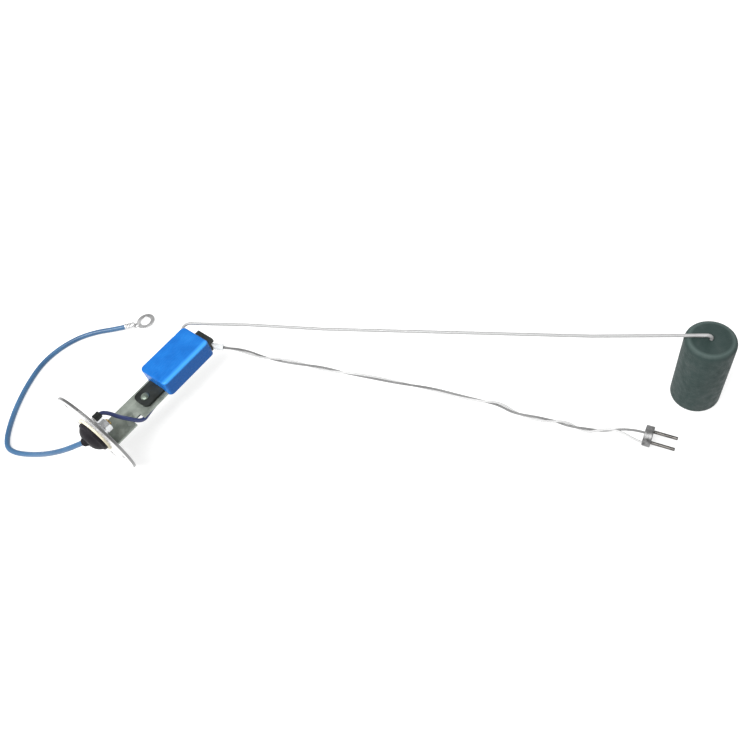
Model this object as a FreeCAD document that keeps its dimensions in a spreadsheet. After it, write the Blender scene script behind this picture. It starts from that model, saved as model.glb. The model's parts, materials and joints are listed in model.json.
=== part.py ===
import FreeCAD, Part
import math
import os
import Sketcher

# Fuel level sender with a swinging float arm
# The origin is the centre of the flange's inner, seating face.
# X points into the tank along the bracket, and Z is the pivot axis of the arm.
# Lengths are in millimetres.

SIZES = {
    # mounting flange
    "flange_dia": 70.0,
    "flange_thick": 2.0,
    "bolt_inset": 8.0,
    "bolt_hole": 5.4,
    "bolt_count": 5,
    "bolt_angle": 54.0,
    "seat_inset": 15.0,
    "flange_edge": 0.3,
    # insulated terminal in the middle of the flange
    "stud_dia": 6.0,
    "bush_wall": 1.5,
    "bush_gap": 0.1,
    "insulator_dia": 29.0,
    "insulator_thick": 1.2,
    "eyelet_dia": 13.0,
    "eyelet_thick": 0.8,
    "head_flats": 10.0,
    "head_height": 3.6,
    "inner_insulator_dia": 15.0,
    "inner_insulator_thick": 1.0,
    "washer_dia": 13.0,
    "washer_thick": 1.0,
    "tag_thick": 0.6,
    "tag_dia": 12.0,
    "tag_barrel_dia": 4.0,
    "tag_sleeve_dia": 5.4,
    "tag_sleeve_start": 4.4,
    "tag_sleeve_length": 5.2,
    "nut_flats": 10.0,
    "nut_height": 5.0,
    "nut_chamfer": 0.5,
    "stud_proud": 1.6,
    # rubber boot over the terminal
    "boot_dia": 25.0,
    "boot_height": 7.2,
    "boot_lip": 2.4,
    "lip_step": 0.8,
    "lip_inset": 1.6,
    "shoulder_drop": 2.2,
    "shoulder_inset": 3.4,
    "crown_inset": 6.4,
    "boot_room": 0.8,
    "nozzle_dia": 6.4,
    "nozzle_flare": 1.2,
    "nozzle_length": 7.0,
    # folded bracket strip
    "strip_width": 22.0,
    "strip_thick": 1.5,
    "strip_top": -10.5,
    "strip_short": 7.0,
    "foot_top": 13.0,
    "foot_round": 7.0,
    "fold_inside": 1.2,
    "notch_start": 22.0,
    "notch_length": 7.0,
    "notch_depth": 4.6,
    # rivets
    "rivet_dia": 3.2,
    "rivet_head": 5.6,
    "rivet_head_height": 1.4,
    "carrier_rivet_head": 6.6,
    "closing_share": 0.6,
    "foot_rivet_y": 8.3,
    "foot_rivet_z": 6.3,
    "near_rivet_x": 41.0,
    "far_rivet_x": 62.0,
    # blue cover
    "cover_start": 53.0,
    "cover_length": 46.0,
    "cover_width": 28.4,
    "cover_top": 1.8,
    "cover_bottom": -12.0,
    "cover_wall": 1.4,
    "cover_corner": 3.6,
    "cover_edge": 1.6,
    "fit_gap": 0.15,
    "slot_before": 10.5,
    "slot_inset": 1.0,
    "slot_top": -1.6,
    "catch_inset": 10.2,
    "catch_width": 3.4,
    "catch_height": 1.6,
    # black carrier under the cover
    "carrier_thick": 2.2,
    "tongue_start": 35.0,
    "tongue_width": 15.6,
    "tongue_round": 4.0,
    "block_length": 1.2,
    "hood_length": 4.6,
    "hood_thick": 3.2,
    "block_left": 3.0,
    "block_top": -0.9,
    "peg_inset": 2.0,
    "peg_side": 5.0,
    "peg_drop": 4.4,
    "peg_gap": 0.2,
    # pivot and rotor
    "pivot_inset": 15.0,
    "pivot_y": 2.5,
    "pin_dia": 3.0,
    "run_gap": 0.05,
    "boss_dia": 7.0,
    "boss_height": 0.6,
    "hub_dia": 10.0,
    "neck_dia": 7.0,
    "hub_top": -1.8,
    "neck_top": -5.4,
    "rotor_arm": 12.5,
    "rotor_arm_width": 5.0,
    "rotor_arm_height": 3.6,
    "clip_thick": 0.5,
    "clip_dia": 6.4,
    "clip_groove": 2.3,
    "pin_top": -0.4,
    # resistor and wiper
    "card_gap": 0.7,
    "card_width": 6.2,
    "card_thick": 1.4,
    "winding_edge": 1.2,
    "winding_width": 3.4,
    "winding_turns": 26,
    "winding_height": 0.9,
    "winding_ridge": 0.35,
    "card_first": 212.0,
    "card_last": 318.0,
    "winding_first": 216.0,
    "winding_last": 314.0,
    "wiper_thick": 0.4,
    "wiper_width": 3.0,
    "wiper_short": 0.6,
    "wiper_gap": 0.1,
    # float arm, bent from one wire
    "wire_dia": 2.2,
    "wire_z": -3.5,
    "wire_start": 4.6,
    "elbow_ahead": 18.4,
    "elbow_side": 18.7,
    "elbow_round": 4.5,
    "tip_ahead": 175.5,
    "tip_side": -316.3,
    "tip_round": 3.0,
    "tip_clear": 0.4,
    "bow_round": 60.0,
    # float
    "float_dia": 31.4,
    "float_height": 60.4,
    "float_round": 1.8,
    "float_gap": 0.1,
    "float_play": 0.3,
    "recess_dia": 12.0,
    "recess_depth": 4.0,
    "retainer_dia": 9.0,
    "retainer_thick": 0.6,
    "wire_end": 1.2,
    # supply lead and its ring terminal
    "lead_dia": 4.0,
    "ring_dia": 15.4,
    "ring_hole": 8.4,
    "ring_thick": 1.0,
    "barrel_dia": 5.0,
    "barrel_length": 8.0,
    "ring_x": 98.7,
    "ring_y": 80.0,
    # twisted pair and its probe
    "pair_dia": 3.2,
    "sleeve_dia": 4.6,
    "sleeve_length": 6.0,
    "pair_ahead": 4.8,
    "probe_dia": 14.0,
    "probe_thick": 5.2,
    "probe_wall": 1.3,
    "probe_step": 0.8,
    "prong_dia": 2.2,
    "prong_length": 15.0,
    "prong_space": 8.4,
    # short lead inside the tank
    "inner_lead_dia": 3.0,
}

# Corners where the arm's long run sags: the share of its length, then the sag.
ARM_BOW = [
    (0.15, 0.0),
    (0.31, 3.0),
    (0.81, 3.7),
]

# Routes of the cords, chosen by eye. Each is a list of corners that arcs round off.
LEAD_ROUTE = [
    (-10.6, 4.6, -2.6),
    (-17.4, 13.2, -7.7),
    (-23.6, 22.6, -13.0),
    (-30.2, 36.2, -20.4),
    (-35.6, 50.2, -27.4),
    (-40.3, 62.6, -31.9),
    (-44.2, 72.2, -33.0),
    (-45.2, 80.6, -33.0),
    (-40.8, 88.2, -33.0),
    (-31.4, 97.0, -33.0),
    (-17.2, 107.2, -33.0),
    (0.6, 116.6, -33.0),
    (20.4, 123.4, -33.0),
    (38.6, 122.8, -33.0),
    (55.2, 117.2, -33.0),
    (68.0, 107.4, -32.8),
    (77.7, 95.9, -32.5),
    (84.6, 89.3, -32.5),
]

PAIR_ROUTE = [
    (105.0, -18.4, -9.6),
    (107.3, -21.9, -10.9),
    (111.2, -26.6, -14.0),
    (115.4, -31.6, -19.0),
    (120.2, -38.2, -25.6),
    (126.4, -45.6, -31.0),
    (132.6, -57.2, -33.4),
    (137.4, -73.0, -33.4),
    (144.8, -95.0, -33.4),
    (153.2, -117.0, -33.4),
    (160.0, -138.2, -33.4),
    (168.4, -161.6, -33.4),
    (173.2, -181.0, -33.4),
    (178.6, -197.8, -33.4),
    (183.2, -209.6, -33.4),
    (182.2, -222.4, -33.4),
    (186.6, -238.4, -33.4),
    (193.4, -253.8, -33.4),
    (194.6, -267.2, -33.4),
    (199.6, -276.8, -32.2),
    (204.0, -284.8, -29.4),
    (207.0, -293.1, -28.0),
    (209.1, -302.5, -28.0),
]

INNER_LEAD_ROUTE = [
    (5.6, 3.6, 7.9),
    (10.8, 3.6, 7.9),
    (14.2, 1.2, 4.4),
    (17.0, -2.8, -0.8),
    (21.0, -7.0, -5.6),
    (24.4, -9.0, -11.0),
    (28.4, -9.4, -14.4),
    (37.2, -7.8, -14.0),
    (46.2, -7.0, -13.9),
    (55.0, -7.0, -13.9),
]

doc = FreeCAD.newDocument("fuel_level_sender")
sheet = doc.addObject("Spreadsheet::Sheet", "Sizes")
for row, (name, number) in enumerate(SIZES.items(), start=1):
    sheet.set(f"A{row}", name)
    sheet.set(f"B{row}", str(number))
    sheet.setAlias(f"B{row}", name)
doc.recompute()


class Size:
    """A size that knows its value and the sheet formula that gives it."""

    def __init__(self, value, text):
        self.value = float(value)
        self.text = text

    def __add__(self, other):
        other = as_size(other)
        return Size(self.value + other.value, f"({self.text} + {other.text})")

    def __sub__(self, other):
        other = as_size(other)
        return Size(self.value - other.value, f"({self.text} - {other.text})")

    def __mul__(self, other):
        other = as_size(other)
        return Size(self.value * other.value, f"({self.text} * {other.text})")

    def __truediv__(self, other):
        other = as_size(other)
        return Size(self.value / other.value, f"({self.text} / {other.text})")

    def __neg__(self):
        return Size(-self.value, f"(0 - {self.text})")


def as_size(number):
    """A plain number as a Size, and a Size as it is."""
    return number if isinstance(number, Size) else Size(number, f"({number})")


def size(name):
    """The driving dimension of that name, read from the sheet."""
    return Size(sheet.get(name), f"Sizes.{name}")


ZERO = as_size(0)
sub_parts = []


def bind(thing, prop, amount):
    """Give a property its value and tie it to the sheet."""
    amount = as_size(amount)
    thing.setExpression(prop, amount.text)


def keep(thing, label):
    """List a finished sub-part under the name of its file."""
    thing.Label = label
    sub_parts.append(thing)
    return thing


def place(thing, x=ZERO, y=ZERO, z=ZERO):
    """Tie the position of a solid to the sheet."""
    for axis, amount in zip("xyz", (x, y, z)):
        bind(thing, f"Placement.Base.{axis}", amount)


X_AXIS = FreeCAD.Vector(1, 0, 0)
Y_AXIS = FreeCAD.Vector(0, 1, 0)
Z_AXIS = FreeCAD.Vector(0, 0, 1)
AXIS_TURN = {
    "x": FreeCAD.Rotation(Y_AXIS, 90),
    "y": FreeCAD.Rotation(X_AXIS, -90),
    "z": FreeCAD.Rotation(),
}


def rod(name, dia, length, x=ZERO, y=ZERO, z=ZERO, along="z"):
    """A round bar that starts at x, y, z and runs along one axis."""
    bar = doc.addObject("Part::Cylinder", name)
    bar.Placement = FreeCAD.Placement(FreeCAD.Vector(), AXIS_TURN[along])
    bind(bar, "Radius", as_size(dia) / 2)
    bind(bar, "Height", length)
    place(bar, x, y, z)
    return bar


def block(name, x, y, z, long, wide, high):
    """A rectangular bar from its lowest corner."""
    bar = doc.addObject("Part::Box", name)
    bind(bar, "Length", long)
    bind(bar, "Width", wide)
    bind(bar, "Height", high)
    place(bar, x, y, z)
    return bar


def fuse(name, *pieces):
    """One solid out of several."""
    whole = doc.addObject("Part::MultiFuse", name)
    whole.Shapes = list(pieces)
    whole.Refine = True
    return whole


def cut(name, base, tool):
    """The base with the tool's shape taken away."""
    rest = doc.addObject("Part::Cut", name)
    rest.Base = base
    rest.Tool = tool
    rest.Refine = True
    return rest


def group(name, *pieces):
    """Separate solids kept in one file."""
    whole = doc.addObject("Part::Compound", name)
    whole.Links = list(pieces)
    return whole


def new_body(name):
    return doc.addObject("PartDesign::Body", name)


def sketch_on(body, role, name, offset=ZERO):
    """A sketch on one of the body's own planes, moved along its normal."""
    plane = [f for f in body.Origin.OriginFeatures if f.Role == role][0]
    sketch = body.newObject("Sketcher::SketchObject", name)
    sketch.AttachmentSupport = [(plane, "")]
    sketch.MapMode = "FlatFace"
    bind(sketch, "AttachmentOffset.Base.z", offset)
    return sketch


def fix_point(sketch, curve, end, x, y):
    """Tie a point of the sketch to its two distances from the sketch's origin."""
    for kind, amount in (("DistanceX", x), ("DistanceY", y)):
        amount = as_size(amount)
        index = sketch.addConstraint(
            Sketcher.Constraint(kind, -1, 1, curve, end, amount.value))
        sketch.setExpression(f"Constraints[{index}]", amount.text)


def outline(sketch, corners):
    """A closed outline of straight lines through the given corners."""
    corners = [(as_size(x), as_size(y)) for x, y in corners]
    points = [FreeCAD.Vector(x.value, y.value, 0) for x, y in corners]
    first = sketch.GeometryCount
    count = len(points)
    for number in range(count):
        line = Part.LineSegment(points[number], points[(number + 1) % count])
        sketch.addGeometry(line, False)
    for number in range(count):
        after = first + (number + 1) % count
        sketch.addConstraint(Sketcher.Constraint("Coincident", first + number, 2, after, 1))
        fix_point(sketch, first + number, 1, *corners[number])


def rectangle(sketch, x0, y0, x1, y1):
    outline(sketch, [(x0, y0), (x1, y0), (x1, y1), (x0, y1)])


def circle(sketch, x, y, dia):
    """A circle tied to its centre and diameter."""
    x, y, dia = as_size(x), as_size(y), as_size(dia)
    ring = Part.Circle(FreeCAD.Vector(x.value, y.value, 0), Z_AXIS, dia.value / 2)
    curve = sketch.addGeometry(ring, False)
    fix_point(sketch, curve, 3, x, y)
    index = sketch.addConstraint(Sketcher.Constraint("Diameter", curve, dia.value))
    sketch.setExpression(f"Constraints[{index}]", dia.text)


def pad(body, sketch, name, length, both_ways=False):
    feature = body.newObject("PartDesign::Pad", name)
    feature.Profile = sketch
    feature.Midplane = both_ways
    bind(feature, "Length", length)
    return feature


def pocket(body, sketch, name, length=None, reverse=False):
    """Cut a sketch's outline into the body, and check that material went away."""
    doc.recompute()
    before = body.Shape.Volume
    feature = body.newObject("PartDesign::Pocket", name)
    feature.Profile = sketch
    feature.Reversed = reverse
    if length is None:
        feature.Type = "ThroughAll"
        feature.Midplane = True
    else:
        bind(feature, "Length", length)
    doc.recompute()
    if body.Shape.Volume > before - 1e-6:
        raise ValueError(f"{name} cuts nothing")
    return feature


def edges_where(shape, test):
    """Names of the edges whose middle and direction pass the test."""
    names = []
    for number, edge in enumerate(shape.Edges, start=1):
        middle = edge.valueAt((edge.FirstParameter + edge.LastParameter) / 2)
        along = edge.tangentAt((edge.FirstParameter + edge.LastParameter) / 2)
        if test(middle, along):
            names.append(f"Edge{number}")
    return names


def round_off(body, kind, name, amount, test):
    """Fillet or chamfer the edges that pass the test."""
    doc.recompute()
    base = body.Tip
    names = edges_where(base.Shape, test)
    if not names:
        raise ValueError(f"{name} finds no edge")
    feature = body.newObject(f"PartDesign::{kind}", name)
    feature.Base = (base, names)
    bind(feature, "Radius" if kind == "Fillet" else "Size", amount)
    return feature


def first_run(route):
    """Start of a cord and the direction in which it leaves."""
    start, ahead = (FreeCAD.Vector(*point) for point in route[:2])
    return start, (ahead - start).normalize()


def last_run(route):
    """End of a cord and the direction in which it arrives."""
    before, end = (FreeCAD.Vector(*point) for point in route[-2:])
    return end, (end - before).normalize()


def near(a, b, slack=0.01):
    return abs(a - b) < slack


def rounded_path(points, bends=None):
    """Straight runs joined by tangent arcs, of given radii or as large as the runs allow."""
    corners = [FreeCAD.Vector(*p) for p in points]
    edges = []
    radii = []
    here = corners[0]
    for number, (before, corner, after) in enumerate(zip(corners, corners[1:], corners[2:])):
        back = (before - corner).normalize()
        ahead = (after - corner).normalize()
        half_turn = (math.pi - back.getAngle(ahead)) / 2
        shorter_run = min((before - corner).Length, (after - corner).Length)
        radius = bends[number] if bends else 0.45 * shorter_run / math.tan(half_turn)
        reach = radius * math.tan(half_turn)
        start = corner + back * reach
        end = corner + ahead * reach
        inward = (back + ahead).normalize()
        middle = corner + inward * (radius / math.cos(half_turn) - radius)
        edges.append(Part.LineSegment(here, start).toShape())
        edges.append(Part.Arc(start, middle, end).toShape())
        radii.append(radius)
        here = end
    edges.append(Part.LineSegment(here, corners[-1]).toShape())
    return Part.Wire(edges), radii


def tube(label, points, dia, bends=None):
    """A round cord or wire along the path, checked against section times length."""
    path, radii = rounded_path(points, bends)
    start = FreeCAD.Vector(*points[0])
    heading = FreeCAD.Vector(*points[1]) - start
    ring = Part.Wire([Part.Circle(start, heading, dia / 2).toShape()])
    solid = path.makePipeShell([ring], True, False)
    thing = doc.addObject("Part::Feature", label)
    thing.Shape = solid
    expected = math.pi * dia ** 2 / 4 * path.Length
    if abs(solid.Volume / expected - 1) > 0.01:
        raise ValueError(f"{label} has the wrong volume")
    print(f"{label}: {path.Length:.0f} mm long, radii",
          " ".join(f"{radius:.0f}" for radius in radii))
    return keep(thing, label)


def oblique_rod(name, start, axis, dia, length):
    """A round bar from a point along any direction."""
    bar = doc.addObject("Part::Cylinder", name)
    turn = FreeCAD.Rotation(Z_AXIS, axis)
    bar.Placement = FreeCAD.Placement(start, turn)
    bind(bar, "Radius", as_size(dia) / 2)
    bind(bar, "Height", length)
    return bar


# Places that several pieces share

flange_out = -size("flange_thick")
bolt_radius = size("flange_dia") / 2 - size("bolt_inset")
seat_inner = size("flange_dia") - size("seat_inset") * 2
foot_face = size("strip_thick")
bush_dia = size("stud_dia") + size("bush_wall") * 2
bush_hole = bush_dia + size("bush_gap") * 2
insulator_face = flange_out - size("insulator_thick")
eyelet_face = insulator_face - size("eyelet_thick")
inner_insulator_face = foot_face + size("inner_insulator_thick")
washer_face = inner_insulator_face + size("washer_thick")
tag_face = washer_face + size("tag_thick")
nut_face = tag_face + size("nut_height")
head_face = eyelet_face - size("head_height")
strip_bottom = size("strip_top") - size("strip_thick")
half_strip = size("strip_width") / 2
cover_end = size("cover_start") + size("cover_length")
block_end = cover_end + size("block_length")
half_cover = size("cover_width") / 2
inner_start = size("cover_start") + size("cover_wall")
inner_end = cover_end - size("cover_wall")
half_inner = half_cover - size("cover_wall")
carrier_top = size("strip_top") + size("carrier_thick")
strip_end = cover_end - size("strip_short")
peg_start = size("cover_start") + size("peg_inset")
peg_y = as_size(INNER_LEAD_ROUTE[-1][1])
pivot_x = cover_end - size("pivot_inset")
card_outer = size("pivot_y") + half_inner - size("card_gap")
card_inner = card_outer - size("card_width")
winding_outer = card_outer - size("winding_edge")
winding_inner = winding_outer - size("winding_width")
elbow_x = pivot_x + size("elbow_ahead")
elbow_y = size("pivot_y") + size("elbow_side")
tip_x = pivot_x + size("tip_ahead")
tip_y = size("pivot_y") + size("tip_side")
pair_shift = (block_end + size("pair_ahead")).value - PAIR_ROUTE[0][0]
pair_route = [(x + pair_shift, y, z) for x, y, z in PAIR_ROUTE]
rotor_bottom = carrier_top + size("boss_height") + size("run_gap")
bench = -size("flange_dia") / 2
float_top = bench + size("float_height")
wire_top = float_top + size("tip_round") + size("tip_clear")


# Mounting flange with its ring of bolt holes

def make_flange():
    """Round plate whose seat, a ring round the tank's opening, is a face of its own."""
    body = new_body("flange_plate")
    centre = sketch_on(body, "YZ_Plane", "flange_centre_outline", flange_out)
    circle(centre, 0, 0, seat_inner)
    pad(body, centre, "flange_centre", size("flange_thick"))
    seat = sketch_on(body, "YZ_Plane", "flange_seat_outline", flange_out)
    circle(seat, 0, 0, seat_inner)
    circle(seat, 0, 0, size("flange_dia"))
    pad(body, seat, "flange_seat", size("flange_thick")).Refine = False
    middle = sketch_on(body, "YZ_Plane", "flange_middle_holes")
    circle(middle, 0, 0, bush_hole)
    rivet_hole = size("rivet_dia")
    circle(middle, size("foot_rivet_y"), size("foot_rivet_z"), rivet_hole)
    circle(middle, -size("foot_rivet_y"), -size("foot_rivet_z"), rivet_hole)
    pocket(body, middle, "flange_middle_cut").Refine = False
    bolt = sketch_on(body, "YZ_Plane", "bolt_hole_outline")
    first = math.radians(size("bolt_angle").value)
    circle(bolt, bolt_radius * math.cos(first), bolt_radius * math.sin(first), size("bolt_hole"))
    first_hole = pocket(body, bolt, "bolt_hole_first")
    first_hole.Refine = False
    ring = body.newObject("PartDesign::PolarPattern", "bolt_hole_ring")
    ring.Originals = [first_hole]
    turn_axis = [f for f in body.Origin.OriginFeatures if f.Role == "X_Axis"][0]
    ring.Axis = (turn_axis, [""])
    ring.Angle = 360
    ring.Refine = False
    bind(ring, "Occurrences", size("bolt_count"))
    body.Tip = ring
    rim = size("flange_dia").value / 2
    edge = round_off(body, "Chamfer", "flange_rim", size("flange_edge"),
                     lambda p, t: near(math.hypot(p.y, p.z), rim) and near(t.x, 0))
    edge.Refine = False
    return keep(body, "flange_plate")


def make_washer(label, start, thick, dia, hole):
    """A flat ring on the terminal's axis."""
    disc = rod(f"{label}_disc", dia, thick, x=start, along="x")
    bore = rod(f"{label}_bore", hole, thick, x=start, along="x")
    return keep(cut(label, disc, bore), label)


def hexagon(name, flats, height, start):
    """A hexagonal prism on the terminal's axis, by its width across flats."""
    prism = doc.addObject("Part::Prism", name)
    prism.Polygon = 6
    prism.Placement = FreeCAD.Placement(FreeCAD.Vector(), AXIS_TURN["x"])
    bind(prism, "Circumradius", flats / math.sqrt(3))
    bind(prism, "Height", height)
    place(prism, start)
    return prism


def crowned(name, prism, flats, height, start):
    """A hexagon whose corners are turned off at both faces."""
    corner = flats / math.sqrt(3)
    depth = size("nut_chamfer")
    body = new_body(f"{name}_crown")
    profile = sketch_on(body, "XZ_Plane", f"{name}_crown_profile")
    outline(profile, [
        (start, ZERO), (start, corner - depth * 2), (start + depth, corner),
        (start + height - depth, corner), (start + height, corner - depth * 2),
        (start + height, ZERO)])
    turned = body.newObject("PartDesign::Revolution", f"{name}_crown_turn")
    turned.Profile = profile
    turned.ReferenceAxis = (profile, ["H_Axis"])
    turned.Angle = 360
    common = doc.addObject("Part::MultiCommon", name)
    common.Shapes = [prism, body]
    return common


def make_terminal():
    """The stud and what it clamps, from the outside in."""
    make_washer("outer_insulator", insulator_face, size("insulator_thick"),
                size("insulator_dia"), bush_hole)
    disc = rod("eyelet_disc", size("eyelet_dia"), size("eyelet_thick"), x=eyelet_face, along="x")
    bore = rod("eyelet_bore", size("stud_dia"), size("eyelet_thick"), x=eyelet_face, along="x")
    keep(cut("lead_eyelet", disc, bore), "lead_eyelet")
    head = hexagon("stud_head_prism", size("head_flats"), size("head_height"), head_face)
    shank = rod("stud_shank", size("stud_dia"), nut_face + size("stud_proud") - eyelet_face,
                x=eyelet_face, along="x")
    keep(fuse("terminal_stud", head, shank), "terminal_stud")
    tube_length = inner_insulator_face - insulator_face
    outer = rod("bush_outer", bush_dia, tube_length, x=insulator_face, along="x")
    inner = rod("bush_inner", size("stud_dia"), tube_length, x=insulator_face, along="x")
    keep(cut("insulating_bush", outer, inner), "insulating_bush")
    make_washer("inner_insulator", foot_face, size("inner_insulator_thick"),
                size("inner_insulator_dia"), bush_hole)
    make_washer("stud_washer", inner_insulator_face, size("washer_thick"),
                size("washer_dia"), size("stud_dia"))
    prism = hexagon("nut_prism", size("nut_flats"), size("nut_height"), tag_face)
    crown = crowned("nut_crowned", prism, size("nut_flats"), size("nut_height"), tag_face)
    hole = rod("nut_bore", size("stud_dia"), size("nut_height"), x=tag_face, along="x")
    keep(cut("stud_nut", crown, hole), "stud_nut")


def make_tag():
    """Eyelet of the short lead inside the tank: its tail points up to a crimped barrel."""
    start, axis = first_run(INNER_LEAD_ROUTE)
    disc = rod("tag_disc", size("tag_dia"), size("tag_thick"), x=washer_face, along="x")
    wide = size("tag_barrel_dia")
    aside = FreeCAD.Vector(0, start.y, start.z)
    heading = math.degrees(math.atan2(start.z, start.y))
    turn = FreeCAD.Rotation(X_AXIS, heading)
    corner = turn.multVec(FreeCAD.Vector(0, 0, -wide.value / 2))
    corner.x = washer_face.value
    tail = doc.addObject("Part::Box", "tag_tail")
    tail.Placement = FreeCAD.Placement(corner, turn)
    bind(tail, "Length", size("tag_thick"))
    bind(tail, "Width", as_size(aside.Length))
    bind(tail, "Height", wide)
    barrel = rod("tag_barrel", wide, as_size(start.x) - washer_face, x=washer_face,
                 y=as_size(start.y), z=as_size(start.z), along="x")
    whole = fuse("tag_whole", disc, tail, barrel)
    bore = rod("tag_bore", size("stud_dia"), size("tag_thick"), x=washer_face, along="x")
    keep(cut("inner_tag", whole, bore), "inner_tag")
    sleeve = rod("tag_sleeve_bar", size("tag_sleeve_dia"), size("tag_sleeve_length"),
                 x=size("tag_sleeve_start"), y=as_size(start.y), z=as_size(start.z), along="x")
    wide_bore = rod("tag_sleeve_barrel_bore", wide, as_size(start.x), y=as_size(start.y),
                    z=as_size(start.z), along="x")
    lead_bore = rod("tag_sleeve_lead_bore", size("inner_lead_dia"),
                    size("tag_sleeve_start") + size("tag_sleeve_length"), y=as_size(start.y),
                    z=as_size(start.z), along="x")
    return keep(cut("tag_sleeve", sleeve, fuse("tag_sleeve_bores", wide_bore, lead_bore)), "tag_sleeve")


def make_boot():
    """Rubber boot: a turned dome, hollow inside, with an oblique outlet bored for the lead."""
    body = new_body("boot_dome")
    profile = sketch_on(body, "XZ_Plane", "boot_profile")
    rim = size("boot_dia") / 2
    top = insulator_face - size("boot_height")
    lip = insulator_face - size("boot_lip")
    hollow = head_face - size("boot_room")
    hollow_r = size("head_flats") / math.sqrt(3) + size("boot_room")
    outline(profile, [
        (insulator_face, hollow_r), (insulator_face, rim), (lip, rim),
        (lip - size("lip_step"), rim - size("lip_inset")),
        (top + size("shoulder_drop"), rim - size("shoulder_inset")),
        (top, rim - size("crown_inset")),
        (top, ZERO), (hollow, ZERO), (hollow, hollow_r)])
    turned = body.newObject("PartDesign::Revolution", "boot_turn")
    turned.Profile = profile
    turned.ReferenceAxis = (profile, ["H_Axis"])
    turned.Angle = 360
    tip, axis = first_run(LEAD_ROUTE)
    length = size("nozzle_length")
    nozzle = doc.addObject("Part::Cone", "boot_nozzle")
    nozzle.Placement = FreeCAD.Placement(tip - axis * length.value, FreeCAD.Rotation(Z_AXIS, axis))
    bind(nozzle, "Radius1", size("nozzle_dia") / 2 + size("nozzle_flare"))
    bind(nozzle, "Radius2", size("nozzle_dia") / 2)
    bind(nozzle, "Height", length)
    hollow_bar = rod("boot_hollow", hollow_r * 2, -hollow, x=hollow, along="x")
    outlet = cut("boot_outlet", nozzle, hollow_bar)
    mouth = oblique_rod("boot_mouth", tip, axis, size("lead_dia"), size("boot_dia"))
    return keep(cut("terminal_boot", fuse("boot_whole", body, outlet), mouth), "terminal_boot")


# Bracket strip, folded up into a foot on the flange

def make_bracket():
    body = new_body("bracket")
    side = sketch_on(body, "XZ_Plane", "bracket_profile")
    outline(side, [
        (ZERO, strip_bottom), (strip_end, strip_bottom),
        (strip_end, size("strip_top")), (foot_face, size("strip_top")),
        (foot_face, size("foot_top")), (ZERO, size("foot_top"))])
    pad(body, side, "bracket_fold", size("strip_width"), both_ways=True)
    low = strip_bottom.value
    round_off(body, "Fillet", "bracket_outer_bend", size("fold_inside") + size("strip_thick"),
              lambda p, t: near(p.x, 0) and near(p.z, low) and near(abs(t.y), 1))
    inner_x = foot_face.value
    inner_z = size("strip_top").value
    round_off(body, "Fillet", "bracket_inner_bend", size("fold_inside"),
              lambda p, t: near(p.x, inner_x) and near(p.z, inner_z) and near(abs(t.y), 1))
    crest = size("foot_top").value
    edge_y = half_strip.value
    round_off(body, "Fillet", "foot_corners", size("foot_round"),
              lambda p, t: near(p.z, crest) and near(abs(p.y), edge_y) and near(abs(t.x), 1))
    far_x = strip_end.value
    round_off(body, "Fillet", "strip_corners", size("foot_round") / 2,
              lambda p, t: near(p.x, far_x) and near(abs(p.y), edge_y) and near(abs(t.z), 1))
    foot = sketch_on(body, "YZ_Plane", "foot_holes")
    circle(foot, 0, 0, bush_hole)
    circle(foot, size("foot_rivet_y"), size("foot_rivet_z"), size("rivet_dia"))
    circle(foot, -size("foot_rivet_y"), -size("foot_rivet_z"), size("rivet_dia"))
    pocket(body, foot, "foot_cut", foot_face * 2, reverse=True)
    strip = sketch_on(body, "XY_Plane", "strip_holes", strip_bottom)
    rectangle(strip, size("notch_start"), -half_strip - 1,
              size("notch_start") + size("notch_length"), size("notch_depth") - half_strip)
    circle(strip, size("near_rivet_x"), 0, size("rivet_dia"))
    circle(strip, size("far_rivet_x"), 0, size("rivet_dia"))
    circle(strip, pivot_x, size("pivot_y"), size("pin_dia") + size("run_gap") * 2)
    half_hole = size("peg_side") / 2 + size("peg_gap")
    rectangle(strip, peg_start - size("peg_gap"), peg_y - half_hole,
              peg_start + size("peg_side") + size("peg_gap"), peg_y + half_hole)
    pocket(body, strip, "strip_cut", size("strip_thick"), reverse=True)
    return keep(body, "bracket")


def rivet(name, x, y, z, head, grip, along, closing_height):
    """A domed rivet: head, shank through the grip and a flat closing head, or one set flush."""
    half = head / 2
    high = size("rivet_head_height")
    body = new_body(name)
    profile = sketch_on(body, "XZ_Plane", f"{name}_profile")
    shank = size("rivet_dia") / 2
    closing = [(half * 0.9, -grip - closing_height), (half * 0.9, -grip)]
    outline(profile, [
        (ZERO, -grip - closing_height), *(closing if closing_height.value else []),
        (shank, -grip), (shank, ZERO), (half, ZERO), (half * 0.92, high * 0.45),
        (half * 0.62, high * 0.85), (ZERO, high)])
    turned = body.newObject("PartDesign::Revolution", f"{name}_turn")
    turned.Profile = profile
    turned.ReferenceAxis = (profile, ["V_Axis"])
    turned.Angle = 360
    body.Placement = FreeCAD.Placement(FreeCAD.Vector(), AXIS_TURN[along])
    place(body, x, y, z)
    return body


def make_rivets():
    grip = size("flange_thick") + size("strip_thick")
    pair = [rivet(f"foot_rivet_{n}", foot_face, size("foot_rivet_y") * sign,
                  size("foot_rivet_z") * sign, size("rivet_head"), grip, "x", ZERO)
            for n, sign in enumerate((1, -1), start=1)]
    keep(group("foot_rivets", *pair), "foot_rivets")
    grip = size("carrier_thick") + size("strip_thick")
    closing = size("rivet_head_height") * size("closing_share")
    pair = [rivet(f"carrier_rivet_{n}", size(where), ZERO, carrier_top,
                  size("carrier_rivet_head"), grip, "z", closing)
            for n, where in enumerate(("near_rivet_x", "far_rivet_x"), start=1)]
    keep(group("carrier_rivets", *pair), "carrier_rivets")


# Black carrier, moulded in one piece

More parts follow.
